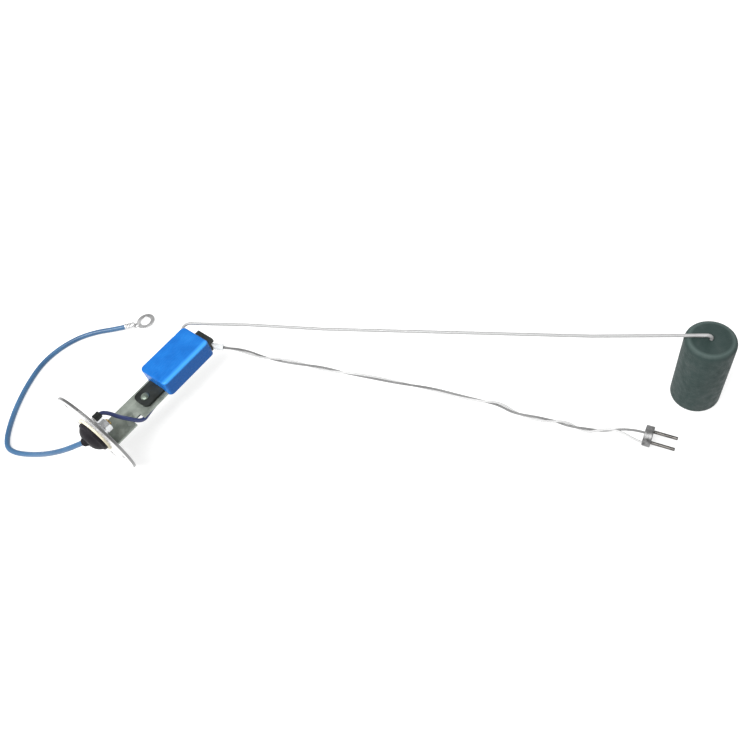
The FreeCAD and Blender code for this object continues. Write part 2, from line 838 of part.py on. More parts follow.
def make_carrier():
    body = new_body("carrier")
    gap = size("fit_gap")
    plan = sketch_on(body, "XY_Plane", "carrier_plan", size("strip_top"))
    tongue = size("tongue_width") / 2
    shelf = inner_start + gap
    wall = half_inner - gap
    outline(plan, [
        (size("tongue_start"), -tongue), (shelf, -tongue), (shelf, -wall),
        (inner_end - gap, -wall), (inner_end - gap, wall), (shelf, wall),
        (shelf, tongue), (size("tongue_start"), tongue)])
    pad(body, plan, "carrier_base", size("carrier_thick"))
    tip_x = size("tongue_start").value
    edge_y = tongue.value
    round_off(body, "Fillet", "tongue_corners", size("tongue_round"),
              lambda p, t: near(p.x, tip_x) and near(abs(p.y), edge_y) and near(abs(t.z), 1))
    last_x = (inner_end - gap).value
    first_x = shelf.value
    side_y = wall.value
    round_off(body, "Fillet", "carrier_corners", size("cover_corner") - size("cover_wall"),
              lambda p, t: near(abs(p.y), side_y) and near(abs(t.z), 1)
              and (near(p.x, last_x) and p.y > 0 or near(p.x, first_x)))
    end = sketch_on(body, "XZ_Plane", "end_block_profile", -size("block_left"))
    root = inner_end - size("cover_wall")
    hood_end = cover_end + size("hood_length")
    outline(end, [
        (root, size("strip_top")), (block_end, size("strip_top")),
        (block_end, size("block_top") - size("hood_thick")),
        (hood_end, size("block_top") - size("hood_thick")), (hood_end, size("block_top")),
        (root, size("block_top"))])
    pad(body, end, "end_block", size("block_left") + wall)
    top_z = size("block_top").value
    block_x = hood_end.value
    round_off(body, "Fillet", "end_block_edges", size("cover_edge") / 2,
              lambda p, t: near(p.x, block_x) and near(p.z, top_z) and near(abs(t.y), 1)
              or near(p.x, block_x) and near(abs(t.z), 1))
    boss = sketch_on(body, "XY_Plane", "boss_plan", carrier_top)
    circle(boss, pivot_x, size("pivot_y"), size("boss_dia"))
    pad(body, boss, "pivot_boss", size("boss_height"))
    peg = sketch_on(body, "XY_Plane", "lead_peg_plan", strip_bottom - size("peg_drop"))
    rectangle(peg, peg_start, peg_y - size("peg_side") / 2,
              peg_start + size("peg_side"), peg_y + size("peg_side") / 2)
    pad(body, peg, "lead_peg", size("peg_drop") + size("strip_thick"))
    holes = sketch_on(body, "XY_Plane", "carrier_holes", size("strip_top"))
    circle(holes, size("near_rivet_x"), 0, size("rivet_dia"))
    circle(holes, size("far_rivet_x"), 0, size("rivet_dia"))
    circle(holes, pivot_x, size("pivot_y"), size("pin_dia"))
    pocket(body, holes, "carrier_hole_cut", size("carrier_thick") * 2, reverse=True)
    return keep(body, "carrier")


# Blue cover, a thin moulded box open below

def make_cover():
    body = new_body("cover")
    plan = sketch_on(body, "XY_Plane", "cover_plan", size("cover_bottom"))
    rectangle(plan, size("cover_start"), -half_cover, cover_end, half_cover)
    pad(body, plan, "cover_block", size("cover_top") - size("cover_bottom"))
    round_off(body, "Fillet", "cover_corners", size("cover_corner"),
              lambda p, t: near(abs(t.z), 1))
    top_z = size("cover_top").value
    round_off(body, "Fillet", "cover_top_edge", size("cover_edge"),
              lambda p, t: near(p.z, top_z))
    inside = sketch_on(body, "XY_Plane", "cover_inside", size("cover_bottom"))
    rectangle(inside, inner_start, -half_inner, inner_end, half_inner)
    depth = size("cover_top") - size("cover_wall") - size("cover_bottom")
    pocket(body, inside, "cover_hollow", depth, reverse=True)
    in_x = (inner_start.value, inner_end.value)
    in_y = half_inner.value
    round_off(body, "Fillet", "cover_inner_corners", size("cover_corner") - size("cover_wall"),
              lambda p, t: near(abs(t.z), 1) and near(abs(p.y), in_y)
              and (near(p.x, in_x[0]) or near(p.x, in_x[1])))
    gap = size("fit_gap")
    near_end = sketch_on(body, "YZ_Plane", "near_end_opening", size("cover_start"))
    tongue = size("tongue_width") / 2 + gap
    strip = half_strip + gap
    below = size("cover_bottom") - 1
    step = size("strip_top") + gap
    roof = carrier_top + gap
    outline(near_end, [
        (-strip, below), (strip, below), (strip, step), (tongue, step),
        (tongue, roof), (-tongue, roof), (-tongue, step), (-strip, step)])
    pocket(body, near_end, "near_end_cut", size("cover_wall") * 2, reverse=True)
    corner = size("cover_corner") - size("cover_wall")
    far_end = sketch_on(body, "YZ_Plane", "far_end_opening", inner_end - corner)
    rectangle(far_end, -half_inner, below, size("block_left") + gap, size("block_top") + gap)
    pocket(body, far_end, "far_end_cut", size("cover_wall") * 2 + corner, reverse=True)
    side = sketch_on(body, "XZ_Plane", "arm_slot", -half_inner)
    rectangle(side, pivot_x - size("slot_before"), below,
              cover_end - size("slot_inset"), size("slot_top"))
    pocket(body, side, "arm_slot_cut", size("cover_wall") * 2)
    catch = sketch_on(body, "XZ_Plane", "catch_window", -half_inner - size("cover_wall") / 3)
    half = size("catch_width") / 2
    catch_x = cover_end - size("catch_inset")
    rectangle(catch, catch_x - half, size("cover_top") - size("catch_height"),
              catch_x + half, size("cover_top") + 1)
    pocket(body, catch, "catch_cut", size("cover_wall") * 2)
    return keep(body, "cover")


# Resistor and the parts that turn on the pivot

def sector(inner, outer, low, high, first, last):
    """A slice of a flat ring about the pivot, between two angles in degrees."""
    centre = pivot_point(low)
    big = Part.makeCylinder(outer, high - low, centre, Z_AXIS, last - first)
    small = Part.makeCylinder(inner, high - low, centre, Z_AXIS, 360)
    big.rotate(centre, Z_AXIS, first)
    return big.cut(small)


def make_resistor():
    """Insulating card, and the wire wound on it as a ridged band."""
    low = carrier_top.value
    mid = low + size("card_thick").value
    high = mid + size("winding_height").value
    card = doc.addObject("Part::Feature", "resistor_card")
    card.Shape = sector(card_inner.value, card_outer.value, low, mid,
                        size("card_first").value, size("card_last").value)
    keep(card, "resistor_card")
    first = size("winding_first").value
    last = size("winding_last").value
    ridge = size("winding_ridge").value
    inner = winding_inner.value
    outer = winding_outer.value
    band = sector(inner, outer, mid, high, first, last)
    turns = round(size("winding_turns").value)
    step = (last - first) / turns
    for number in range(turns):
        groove = sector(inner - 1, outer + 1, high - ridge, high + 1,
                        first + (number + 0.3) * step, first + (number + 0.7) * step)
        band = band.cut(groove)
    winding = doc.addObject("Part::Feature", "resistance_winding")
    winding.Shape = band
    keep(winding, "resistance_winding")


def arm_direction():
    """Unit vector from the pivot to the elbow of the arm, seen from above."""
    away = FreeCAD.Vector(size("elbow_ahead").value, size("elbow_side").value, 0)
    return away.normalize()


def pivot_point(z):
    return FreeCAD.Vector(pivot_x.value, size("pivot_y").value, z)


def make_rotor():
    """Hub with a neck for the wiper, and an arm bored for the wire."""
    neck = rod("rotor_neck", size("neck_dia"), size("neck_top") - rotor_bottom,
               pivot_x, size("pivot_y"), rotor_bottom)
    hub = rod("rotor_hub", size("hub_dia"), size("hub_top") - size("neck_top"),
              pivot_x, size("pivot_y"), size("neck_top"))
    heading = math.degrees(math.atan2(arm_direction().y, arm_direction().x))
    width = size("rotor_arm_width").value
    low = size("hub_top").value - size("rotor_arm_height").value
    arm = Part.makeBox(size("rotor_arm").value, width, size("rotor_arm_height").value,
                       FreeCAD.Vector(0, -width / 2, 0))
    arm = arm.makeFillet(0.8, [e for e in arm.Edges
                               if near(e.CenterOfMass.x, size("rotor_arm").value)])
    lever = doc.addObject("Part::Feature", "rotor_lever")
    lever.Shape = arm
    lever.Placement = FreeCAD.Placement(pivot_point(low), FreeCAD.Rotation(Z_AXIS, heading))
    whole = fuse("rotor_whole", neck, hub, lever)
    shaft = rod("rotor_shaft_hole", size("pin_dia") + size("run_gap") * 2,
                size("hub_top") - rotor_bottom, pivot_x, size("pivot_y"), rotor_bottom)
    bored = cut("rotor_bored", whole, shaft)
    start = pivot_point(size("wire_z").value) + arm_direction() * size("wire_start").value
    wire_hole = oblique_rod("rotor_wire_hole", start, arm_direction(), size("wire_dia"),
                            size("rotor_arm"))
    return keep(cut("rotor", bored, wire_hole), "rotor")


def make_wiper():
    """Thin spring leaf with a ring round the rotor's neck and a pressed contact."""
    low = size("neck_top").value - size("wiper_thick").value
    thick = size("wiper_thick").value
    away = arm_direction() * -1
    heading = math.degrees(math.atan2(away.y, away.x))
    ring = Part.makeCylinder(size("hub_dia").value / 2, thick, pivot_point(low))
    width = size("wiper_width").value
    reach = winding_outer - size("wiper_short")
    leaf = Part.makeBox(reach.value, width, thick, FreeCAD.Vector(0, -width / 2, 0))
    leaf.Placement = FreeCAD.Placement(pivot_point(low), FreeCAD.Rotation(Z_AXIS, heading))
    winding_top = (carrier_top + size("card_thick") + size("winding_height")).value
    contact_low = winding_top + size("wiper_gap").value
    radius = (winding_inner + winding_outer).value / 2
    contact = Part.makeCylinder(width / 3, low + thick - contact_low,
                                pivot_point(contact_low) + away * radius)
    bore = Part.makeCylinder(size("neck_dia").value / 2, thick, pivot_point(low))
    wiper = doc.addObject("Part::Feature", "wiper")
    wiper.Shape = ring.fuse([leaf, contact]).removeSplitter().cut(bore)
    return keep(wiper, "wiper")


def make_pivot():
    """Pin fixed in the carrier, and the clip that keeps the rotor on it."""
    shank = rod("pin_shank", size("pin_dia"), size("pin_top") - size("strip_top"),
                pivot_x, size("pivot_y"), size("strip_top"))
    clip_low = size("hub_top") + size("run_gap")
    groove_outer = rod("pin_groove_outer", size("pin_dia") + 1, size("clip_thick"),
                       pivot_x, size("pivot_y"), clip_low)
    groove_inner = rod("pin_groove_inner", size("clip_groove"), size("clip_thick"),
                       pivot_x, size("pivot_y"), clip_low)
    groove = cut("pin_groove", groove_outer, groove_inner)
    keep(cut("pivot_pin", shank, groove), "pivot_pin")
    disc = rod("clip_disc", size("clip_dia"), size("clip_thick"),
               pivot_x, size("pivot_y"), clip_low)
    bore = rod("clip_bore", size("clip_groove"), size("clip_thick"),
               pivot_x, size("pivot_y"), clip_low)
    mouth = block("clip_mouth", pivot_x, size("pivot_y") - size("clip_groove") * 0.4,
                  clip_low, size("clip_dia"), size("clip_groove") * 0.8, size("clip_thick"))
    ring = cut("clip_ring", disc, bore)
    keep(cut("pivot_clip", ring, mouth), "pivot_clip")


# Float arm, float and its push-on retainer

def bowed_run(start, end):
    """The corners where the wire sags a little, between the ends of its long run."""
    drops = [FreeCAD.Vector(0, 0, sag) for share, sag in ARM_BOW]
    return [start + (end - start) * share - drop for (share, sag), drop in zip(ARM_BOW, drops)]


def make_arm():
    start = pivot_point(size("wire_z").value) + arm_direction() * size("wire_start").value
    elbow = FreeCAD.Vector(elbow_x.value, elbow_y.value, size("wire_z").value)
    tip = FreeCAD.Vector(tip_x.value, tip_y.value, wire_top.value)
    lower = FreeCAD.Vector(tip.x, tip.y, bench.value + size("wire_end").value)
    bow = bowed_run(elbow, tip)
    bends = [size("bow_round").value] * len(bow)
    bends = [size("elbow_round").value, *bends, size("tip_round").value]
    return tube("float_arm", [start, elbow, *bow, tip, lower], size("wire_dia").value, bends)


def make_float():
    """Foam cylinder, turned about its bore, with a recess for the retainer."""
    body = new_body("float")
    profile = sketch_on(body, "XZ_Plane", "float_profile")
    outer = size("float_dia") / 2
    bore = size("wire_dia") / 2 + size("float_gap")
    recess = size("recess_dia") / 2
    outline(profile, [
        (recess, ZERO), (outer, ZERO), (outer, size("float_height")),
        (bore, size("float_height")), (bore, size("recess_depth")),
        (recess, size("recess_depth"))])
    turned = body.newObject("PartDesign::Revolution", "float_turn")
    turned.Profile = profile
    turned.ReferenceAxis = (profile, ["V_Axis"])
    turned.Angle = 360
    rim = outer.value
    round_off(body, "Fillet", "float_edges", size("float_round"),
              lambda p, t: near(math.hypot(p.x, p.y), rim) and near(t.z, 0))
    place(body, tip_x, tip_y, bench)
    return keep(body, "float")


def make_retainer():
    """Push-on cap washer that grips the wire under the float."""
    top = bench + size("recess_depth") - size("float_play")
    low = top - size("retainer_thick")
    disc = rod("retainer_disc", size("retainer_dia"), size("retainer_thick"),
               tip_x, tip_y, low)
    collar = rod("retainer_collar", size("wire_dia") + 1.6, size("retainer_thick") * 2,
                 tip_x, tip_y, low - size("retainer_thick") * 2)
    bore = rod("retainer_bore", size("wire_dia"), size("retainer_thick") * 3,
               tip_x, tip_y, low - size("retainer_thick") * 2)
    whole = fuse("retainer_whole", disc, collar)
    return keep(cut("float_retainer", whole, bore), "float_retainer")


# Ring terminal of the supply lead, lying flat

def make_ring_terminal():
    end, axis = last_run(LEAD_ROUTE)
    barrel = oblique_rod("terminal_barrel", end, axis, size("barrel_dia"), size("barrel_length"))
    ring = rod("terminal_ring", size("ring_dia"), size("ring_thick"),
               size("ring_x"), size("ring_y"), bench)
    hole = rod("terminal_hole", size("ring_hole"), size("ring_thick"),
               size("ring_x"), size("ring_y"), bench)
    start = end + axis * (size("barrel_length").value * 0.8)
    start.z = bench.value
    reach = FreeCAD.Vector(size("ring_x").value, size("ring_y").value, bench.value) - start
    width = size("barrel_dia").value * 0.9
    tongue = Part.makeBox(reach.Length, width, size("ring_thick").value,
                          FreeCAD.Vector(0, -width / 2, 0))
    neck = doc.addObject("Part::Feature", "terminal_neck")
    neck.Shape = tongue
    heading = math.degrees(math.atan2(reach.y, reach.x))
    neck.Placement = FreeCAD.Placement(start, FreeCAD.Rotation(Z_AXIS, heading))
    whole = fuse("terminal_whole", barrel, ring, neck)
    return keep(cut("ring_terminal", whole, hole), "ring_terminal")


# Sleeve where the twisted pair leaves the block, and the probe at its end

def make_sleeve():
    """Soft sleeve, cut flat where it sits on the end block."""
    tip, axis = first_run(pair_route)
    length = size("sleeve_length") * 2
    bar = oblique_rod("sleeve_bar", tip - axis * length.value, axis, size("sleeve_dia"), length)
    inside = block("sleeve_inside", size("cover_start"), -size("cover_width"),
                   size("strip_top") - size("cover_width"), block_end - size("cover_start"),
                   size("cover_width") * 2, size("cover_width") * 2)
    return keep(cut("pair_sleeve", bar, inside), "pair_sleeve")


def make_probe():
    """Low-level probe: a metal collar round an insulator that holds two prongs."""
    last, axis = last_run(pair_route)
    turn = FreeCAD.Rotation(Z_AXIS, axis)
    side = Z_AXIS.cross(axis).normalize()

    def turned(name, dia, length, start):
        bar = doc.addObject("Part::Cylinder", name)
        bar.Placement = FreeCAD.Placement(start, turn)
        bind(bar, "Radius", as_size(dia) / 2)
        bind(bar, "Height", length)
        return bar

    thick = size("probe_thick")
    inner_dia = size("probe_dia") - size("probe_wall") * 2
    can = turned("probe_can", size("probe_dia"), thick, last)
    well = turned("probe_well", inner_dia, thick - size("probe_wall"),
                  last + axis * size("probe_wall").value)
    keep(cut("probe_collar", can, well), "probe_collar")
    insulator_start = last + axis * size("probe_wall").value
    insulator_length = thick - size("probe_wall") - size("probe_step")
    disc = turned("insulator_disc", inner_dia, insulator_length, insulator_start)
    reach = size("prong_space").value / 2
    prong_start = last + axis * (thick.value / 2)
    prongs = []
    holes = []
    for number, sign in enumerate((1, -1), start=1):
        start = prong_start + side * (reach * sign)
        length = size("prong_length") + thick / 2
        prongs.append(turned(f"prong_{number}", size("prong_dia"), length, start))
        holes.append(turned(f"prong_hole_{number}", size("prong_dia"), length, start))
    keep(cut("probe_insulator", disc, fuse("prong_holes", *holes)), "probe_insulator")
    keep(group("probe_prongs", *prongs), "probe_prongs")


def make_cords():
    tube("lead", LEAD_ROUTE, size("lead_dia").value)
    tube("reserve_pair", pair_route, size("pair_dia").value)
    tube("inner_lead", INNER_LEAD_ROUTE, size("inner_lead_dia").value)


make_flange()
make_terminal()
make_tag()
make_boot()
make_bracket()
make_rivets()
make_carrier()
make_cover()
make_resistor()
make_rotor()
make_wiper()
make_pivot()
make_arm()
make_float()
make_retainer()
make_ring_terminal()
make_sleeve()
make_probe()
make_cords()
doc.recompute()

for thing in doc.Objects:
    if "Invalid" in thing.State or "Error" in thing.State:
        raise ValueError(f"{thing.Label} could not be worked out")
for thing in sub_parts:
    if thing.Shape.isNull() or not thing.Shape.isValid():
        raise ValueError(f"{thing.Label} is not a valid shape")

os.makedirs("parts", exist_ok=True)
for thing in sub_parts:
    thing.Shape.exportStep(f"parts/{thing.Label}.step")
print(len(sub_parts), "sub-parts written")
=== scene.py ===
# %% [markdown]
# A fuel level sender lies on a pale bench: a round flange, a bracket, a glossy blue cover, a long wire
# arm with a foam float, a blue lead and a thin pair of leads laid round each other. The solids come from
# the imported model, which gives every place and size. This script gives each piece its surface, its
# finish and its light. Lengths are metres. X runs along the bracket, Z is the arm's pivot axis, and the
# bench is at the lowest point of the flange's rim.

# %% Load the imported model
import json
import math

import bmesh
import bpy
import numpy as np
from mathutils import Matrix, Vector

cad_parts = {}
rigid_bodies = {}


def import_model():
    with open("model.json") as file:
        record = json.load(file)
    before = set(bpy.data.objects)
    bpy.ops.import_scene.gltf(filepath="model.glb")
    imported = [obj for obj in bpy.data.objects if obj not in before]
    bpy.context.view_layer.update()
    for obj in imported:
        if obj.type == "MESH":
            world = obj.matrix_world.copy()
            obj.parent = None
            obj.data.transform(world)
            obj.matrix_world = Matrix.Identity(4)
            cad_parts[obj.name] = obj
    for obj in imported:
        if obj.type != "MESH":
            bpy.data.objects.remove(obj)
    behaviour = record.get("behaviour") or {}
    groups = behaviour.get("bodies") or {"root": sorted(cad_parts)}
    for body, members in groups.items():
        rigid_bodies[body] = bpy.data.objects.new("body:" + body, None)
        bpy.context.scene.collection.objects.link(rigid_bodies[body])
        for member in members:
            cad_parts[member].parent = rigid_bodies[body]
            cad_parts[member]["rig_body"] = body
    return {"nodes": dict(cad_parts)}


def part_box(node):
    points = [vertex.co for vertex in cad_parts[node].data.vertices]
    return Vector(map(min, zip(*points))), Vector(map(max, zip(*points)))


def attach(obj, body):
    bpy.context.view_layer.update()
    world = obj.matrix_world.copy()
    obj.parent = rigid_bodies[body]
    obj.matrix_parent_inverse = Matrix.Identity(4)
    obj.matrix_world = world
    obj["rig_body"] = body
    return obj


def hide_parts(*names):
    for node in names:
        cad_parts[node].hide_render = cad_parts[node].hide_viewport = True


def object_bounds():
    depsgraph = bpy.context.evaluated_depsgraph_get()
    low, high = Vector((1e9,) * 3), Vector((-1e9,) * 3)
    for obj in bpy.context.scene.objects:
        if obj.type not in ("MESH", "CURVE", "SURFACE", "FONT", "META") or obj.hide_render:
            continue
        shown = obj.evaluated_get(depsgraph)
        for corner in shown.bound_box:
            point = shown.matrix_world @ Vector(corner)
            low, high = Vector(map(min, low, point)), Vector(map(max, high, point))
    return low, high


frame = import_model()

MM = 0.001
cad_low, cad_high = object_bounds()
bench = cad_low.z
print("pieces in the frame:", len(frame["nodes"]), "bench at", round(bench / MM, 1), "mm")

# %% [markdown]
# The camera comes first, because the cords have to lie in its view. The picture looks down steeply from
# beyond the float's side, and the camera is rolled a little. Its place and angles come from matching the
# flange's thin ellipse, the bracket's edges, the cover's corners and the float's two ends. A short lens
# close to the flange would bend these against each other, so place and lens were found together.

# %% Camera
CAMERA_PLACE = Vector((-0.0544, -0.3756, 0.4215))
CAMERA_AZIMUTH, CAMERA_ELEVATION, CAMERA_ROLL = -39.39, 53.87, 15.66
CAMERA_LENS = 36.7
CAMERA_SENSOR = 36.0


def aim(azimuth, elevation, roll):
    """Columns are the camera's right, up and back: turned about Z, tipped up, then rolled about back."""
    a, e, r = (math.radians(angle) for angle in (azimuth, elevation, roll))
    back = Vector((math.sin(a) * math.cos(e), -math.cos(a) * math.cos(e), math.sin(e)))
    right = Vector((math.cos(a), math.sin(a), 0))
    up = back.cross(right)
    rolled_right = right * math.cos(r) - up * math.sin(r)
    rolled_up = right * math.sin(r) + up * math.cos(r)
    return Matrix((rolled_right, rolled_up, back)).transposed()


camera_data = bpy.data.cameras.new("camera")
camera_data.lens = CAMERA_LENS
camera_data.sensor_width = CAMERA_SENSOR
camera_data.clip_start, camera_data.clip_end = 0.01, 10.0
camera = bpy.data.objects.new("camera", camera_data)
camera.matrix_world = Matrix.Translation(CAMERA_PLACE) @ aim(
    CAMERA_AZIMUTH, CAMERA_ELEVATION, CAMERA_ROLL).to_4x4()
bpy.context.scene.collection.objects.link(camera)
bpy.context.scene.camera = camera
print("camera at", [round(v / MM) for v in CAMERA_PLACE], "mm")

# %% [markdown]
# A finish is a small tree of nodes. Real surfaces are never one flat colour, so each finish mixes two
# close tones with noise, lets the roughness wander and adds a fine relief. A painted image could do the
# same, but noise has no seams, needs no unwrapping and stays sharp in a close view. Object coordinates
# fix the pattern to the piece, so it rides along when the piece moves. A value that is even all over
# goes on the shader's own socket.

# %% A finish and where its pattern sits
def new_finish(name, rough, metal=0.0, **sockets):
    """A material with one Principled shader. Extra sockets are given by name, with _ for a space."""
    material = bpy.data.materials.new(name)
    material.use_nodes = True
    tree = material.node_tree
    shader = tree.nodes["Principled BSDF"]
    shader.inputs["Roughness"].default_value = rough
    shader.inputs["Metallic"].default_value = metal
    for socket, value in sockets.items():
        shader.inputs[socket.replace("_", " ")].default_value = value
    return material, tree, shader


def place_on(tree, stretch=(1, 1, 1)):
    """Object coordinates, stretched so that a pattern can run along one direction."""
    coords = tree.nodes.new("ShaderNodeTexCoord")
    mapping = tree.nodes.new("ShaderNodeMapping")
    mapping.inputs["Scale"].default_value = stretch
    tree.links.new(coords.outputs["Object"], mapping.inputs["Vector"])
    return mapping.outputs["Vector"]


# %% Patterns
def noise(tree, where, size, detail=3.0, distortion=0.0):
    """Soft noise whose blotches are about size metres across."""
    node = tree.nodes.new("ShaderNodeTexNoise")
    node.inputs["Scale"].default_value = 1 / size
    node.inputs["Detail"].default_value = detail
    node.inputs["Distortion"].default_value = distortion
    tree.links.new(where, node.inputs["Vector"])
    return node.outputs["Fac"]


def cells(tree, where, size, output="Distance"):
    """Voronoi cells about size metres across."""
    node = tree.nodes.new("ShaderNodeTexVoronoi")
    node.inputs["Scale"].default_value = 1 / size
    tree.links.new(where, node.inputs["Vector"])
    return node.outputs[output]


# %% From a pattern to colour, roughness and relief
NOISE_LOW, NOISE_HIGH = 0.3, 0.7


def ramp(tree, value, *stops):
    """A colour ramp through (position, (r, g, b)) stops."""
    node = tree.nodes.new("ShaderNodeValToRGB")
    for number, (position, colour) in enumerate(stops):
        stop = node.color_ramp.elements[number] if number < 2 else node.color_ramp.elements.new(position)
        stop.position = position
        stop.color = (*colour, 1)
    tree.links.new(value, node.inputs["Fac"])
    return node.outputs["Color"]


def tones(tree, shader, value, *stops):
    """Base colour from a ramp."""
    tree.links.new(ramp(tree, value, *stops), shader.inputs["Base Color"])


def span(tree, value, low, high):
    """Noise stretched from its usual middle range to run from low to high."""
    node = tree.nodes.new("ShaderNodeMapRange")
    node.inputs["From Min"].default_value = NOISE_LOW
    node.inputs["From Max"].default_value = NOISE_HIGH
    node.inputs["To Min"].default_value = low
    node.inputs["To Max"].default_value = high
    tree.links.new(value, node.inputs["Value"])
    return node.outputs["Result"]


def relief(tree, shader, *layers):
    """Bump from (height, depth in metres) layers, one on the other."""
    normal = None
    for height, depth in layers:
        node = tree.nodes.new("ShaderNodeBump")
        node.inputs["Distance"].default_value = depth
        node.inputs["Strength"].default_value = 1.0
        tree.links.new(height, node.inputs["Height"])
        if normal is not None:
            tree.links.new(normal, node.inputs["Normal"])
        normal = node.outputs["Normal"]
    tree.links.new(normal, shader.inputs["Normal"])


def grey(level, warm=0.0):
    """A grey that leans warm or, below zero, cool."""
    return (level * (1 + warm), level, level * (1 - warm))


# %% [markdown]
# Some colours have their places: the flange's cut edge is darker than the sheet's face, partly as bare
# steel and partly as painted shade, and painted highlights and painted shade sit on the cover and the
# float where light catches or misses them. Such a place is a mask, a number between 0 and 1 worked out
# from where a point lies on the piece. One mask can be multiplied with another, and a blend uses it to go
# from one colour to the next.

# %% Masks for painted light and shade, and the cut edge
def distance(tree, *parts, centre=(0, 0, 0)):
    """The length of (x, y, z) from a centre, with only the parts named: how far a point is from an axis."""
    coords = tree.nodes.new("ShaderNodeTexCoord")
    moved = tree.nodes.new("ShaderNodeVectorMath")
    moved.operation = "SUBTRACT"
    moved.inputs[1].default_value = centre
    tree.links.new(coords.outputs["Object"], moved.inputs[0])
    keep = tree.nodes.new("ShaderNodeVectorMath")
    keep.operation = "MULTIPLY"
    keep.inputs[1].default_value = [float(letter in parts) for letter in "xyz"]
    length = tree.nodes.new("ShaderNodeVectorMath")
    length.operation = "LENGTH"
    tree.links.new(moved.outputs["Vector"], keep.inputs[0])
    tree.links.new(keep.outputs["Vector"], length.inputs[0])
    return length.outputs["Value"]


def parts_of(tree, where):
    """The x, y and z of a place, as the outputs of one node."""
    parts = tree.nodes.new("ShaderNodeSeparateXYZ")
    tree.links.new(where, parts.inputs["Vector"])
    return parts.outputs


def share(tree, value, zero_at, one_at):
    """A straight run from 0 to 1 between two values, and level beyond them. It may run downwards."""
    node = tree.nodes.new("ShaderNodeMapRange")
    node.inputs["From Min"].default_value = zero_at
    node.inputs["From Max"].default_value = one_at
    tree.links.new(value, node.inputs["Value"])
    return node.outputs["Result"]


def product(tree, first, second):
    """Where both masks are one."""
    node = tree.nodes.new("ShaderNodeMath")
    node.operation = "MULTIPLY"
    tree.links.new(first, node.inputs[0])
    tree.links.new(second, node.inputs[1])
    return node.outputs["Value"]


def blend(tree, factor, first, second):
    """Colour that goes from first to second as the factor rises."""
    node = tree.nodes.new("ShaderNodeMix")
    node.data_type = "RGBA"
    tree.links.new(factor, node.inputs["Factor"])
    for socket, colour in (("A", first), ("B", second)):
        target = [place for place in node.inputs if place.name == socket and place.type == "RGBA"][0]
        if isinstance(colour, tuple):
            target.default_value = (*colour, 1)
        else:
            tree.links.new(colour, target)
    return [place for place in node.outputs if place.type == "RGBA"][0]


print("noise runs from", NOISE_LOW, "to", NOISE_HIGH, "in every finish")

# %% [markdown]
# The metals differ in how they were made. The flange is zinc plated and dulled, and its cut edge is
# darker, partly as bare steel and partly as painted shade. The strip is galvanised, and zinc that cools
# slowly on hot steel grows large crystals, so its pattern is a Voronoi one. Drawn wire has scratches that
# run lengthwise, and the small fasteners are bright. A dulled skin is given less metal, because it
# scatters light as a grey paint does.

# %% Zinc plate
FLANGE_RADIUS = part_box("flange_plate")[1].y
# Where the darker rim starts and where it is full: bare cut steel, and painted shade on the rim.
CUT_EDGE_SHADE_STARTS, CUT_EDGE_SHADE_FULL = 0.6 * MM, 0.2 * MM


def zinc_plate():
    """Cloudy grey with fine scratches every way. It darkens with the distance from the flange's axis: bare
    cut edge and painted shade.
    """
    material, tree, shader = new_finish("zinc_plate", 0.34, 0.95)
    where = place_on(tree)
    cloud = noise(tree, where, 0.012, 5)
    face = ramp(tree, cloud, (0.3, grey(0.62)), (0.7, grey(0.8, 0.01)))
    reach = distance(tree, "y", "z")
    # Painted shade: the rim goes to grey(0.24), partly bare cut steel and partly shade painted into the
    # colour.
    cut_edge_and_shade = share(tree, reach, FLANGE_RADIUS - CUT_EDGE_SHADE_STARTS, FLANGE_RADIUS - CUT_EDGE_SHADE_FULL)
    tree.links.new(blend(tree, cut_edge_and_shade, face, grey(0.24)), shader.inputs["Base Color"])
    tree.links.new(span(tree, noise(tree, where, 0.003, 4), 0.24, 0.42), shader.inputs["Roughness"])
    relief(tree, shader, (noise(tree, place_on(tree, (1, 9, 1)), 0.002, 4), 0.00003))
    return material


print("flange radius", round(FLANGE_RADIUS / MM, 1), "mm")


# %% Galvanised strip
CRYSTAL = 4.5 * MM
CLOUD_SHARE = 0.3


def galvanised():
    """Crystals a few millimetres across in grey with a green cast, softened by a cloud."""
    material, tree, shader = new_finish("galvanised_strip", 0.45, 0.75)
    where = place_on(tree)
    crystals = cells(tree, where, CRYSTAL, output="Color")
    cloud = noise(tree, where, 0.009, 5)
    mix = tree.nodes.new("ShaderNodeMix")
    mix.inputs["Factor"].default_value = CLOUD_SHARE
    tree.links.new(cloud, mix.inputs["A"])
    tree.links.new(crystals, mix.inputs["B"])
    tones(tree, shader, mix.outputs["Result"], (0.25, (0.17, 0.195, 0.17)), (0.75, (0.42, 0.46, 0.41)))
    tree.links.new(span(tree, cloud, 0.36, 0.58), shader.inputs["Roughness"])
    relief(tree, shader, (noise(tree, where, 0.0012, 4), 0.00003))
    return material


# %% Bright and dulled metals
SCRATCH_DEPTH = 0.005 * MM


def bright_metal(name, dark, light, rough=0.25, along=(1, 1, 1), blotch=0.004, metal=1.0):
    """Two close tones and light wear, its scratches a quarter as wide as its blotches."""
    material, tree, shader = new_finish(name, rough, metal)
    where = place_on(tree, along)
    wear = noise(tree, where, blotch, 5)
    tones(tree, shader, wear, (0.3, dark), (0.7, light))
    tree.links.new(span(tree, wear, rough * 0.7, rough * 1.5), shader.inputs["Roughness"])
    relief(tree, shader, (noise(tree, where, blotch / 4, 2), SCRATCH_DEPTH))
    return material


# %% [markdown]
# The cover is a glossy blue moulding. Its skin waves very slightly, as a thin wall does where it cools
# unevenly, and carries hair scratches. A painted highlight lies along one top edge, and painted shade
# darkens the wall below it. Both masks are measured from the cover's own box, so they stay in place if
# the cover is resized.

# %% Blue moulding
# Widths of the painted highlight along the near top edge and of the painted shade on the near wall.
HIGHLIGHT_FADES, HIGHLIGHT_FULL = 4.6 * MM, 1.6 * MM
TOP_FADES, TOP_FULL = 1.6 * MM, 0.4 * MM
WALL_SHADE_STARTS, WALL_SHADE_FULL = 1.4 * MM, 0.5 * MM


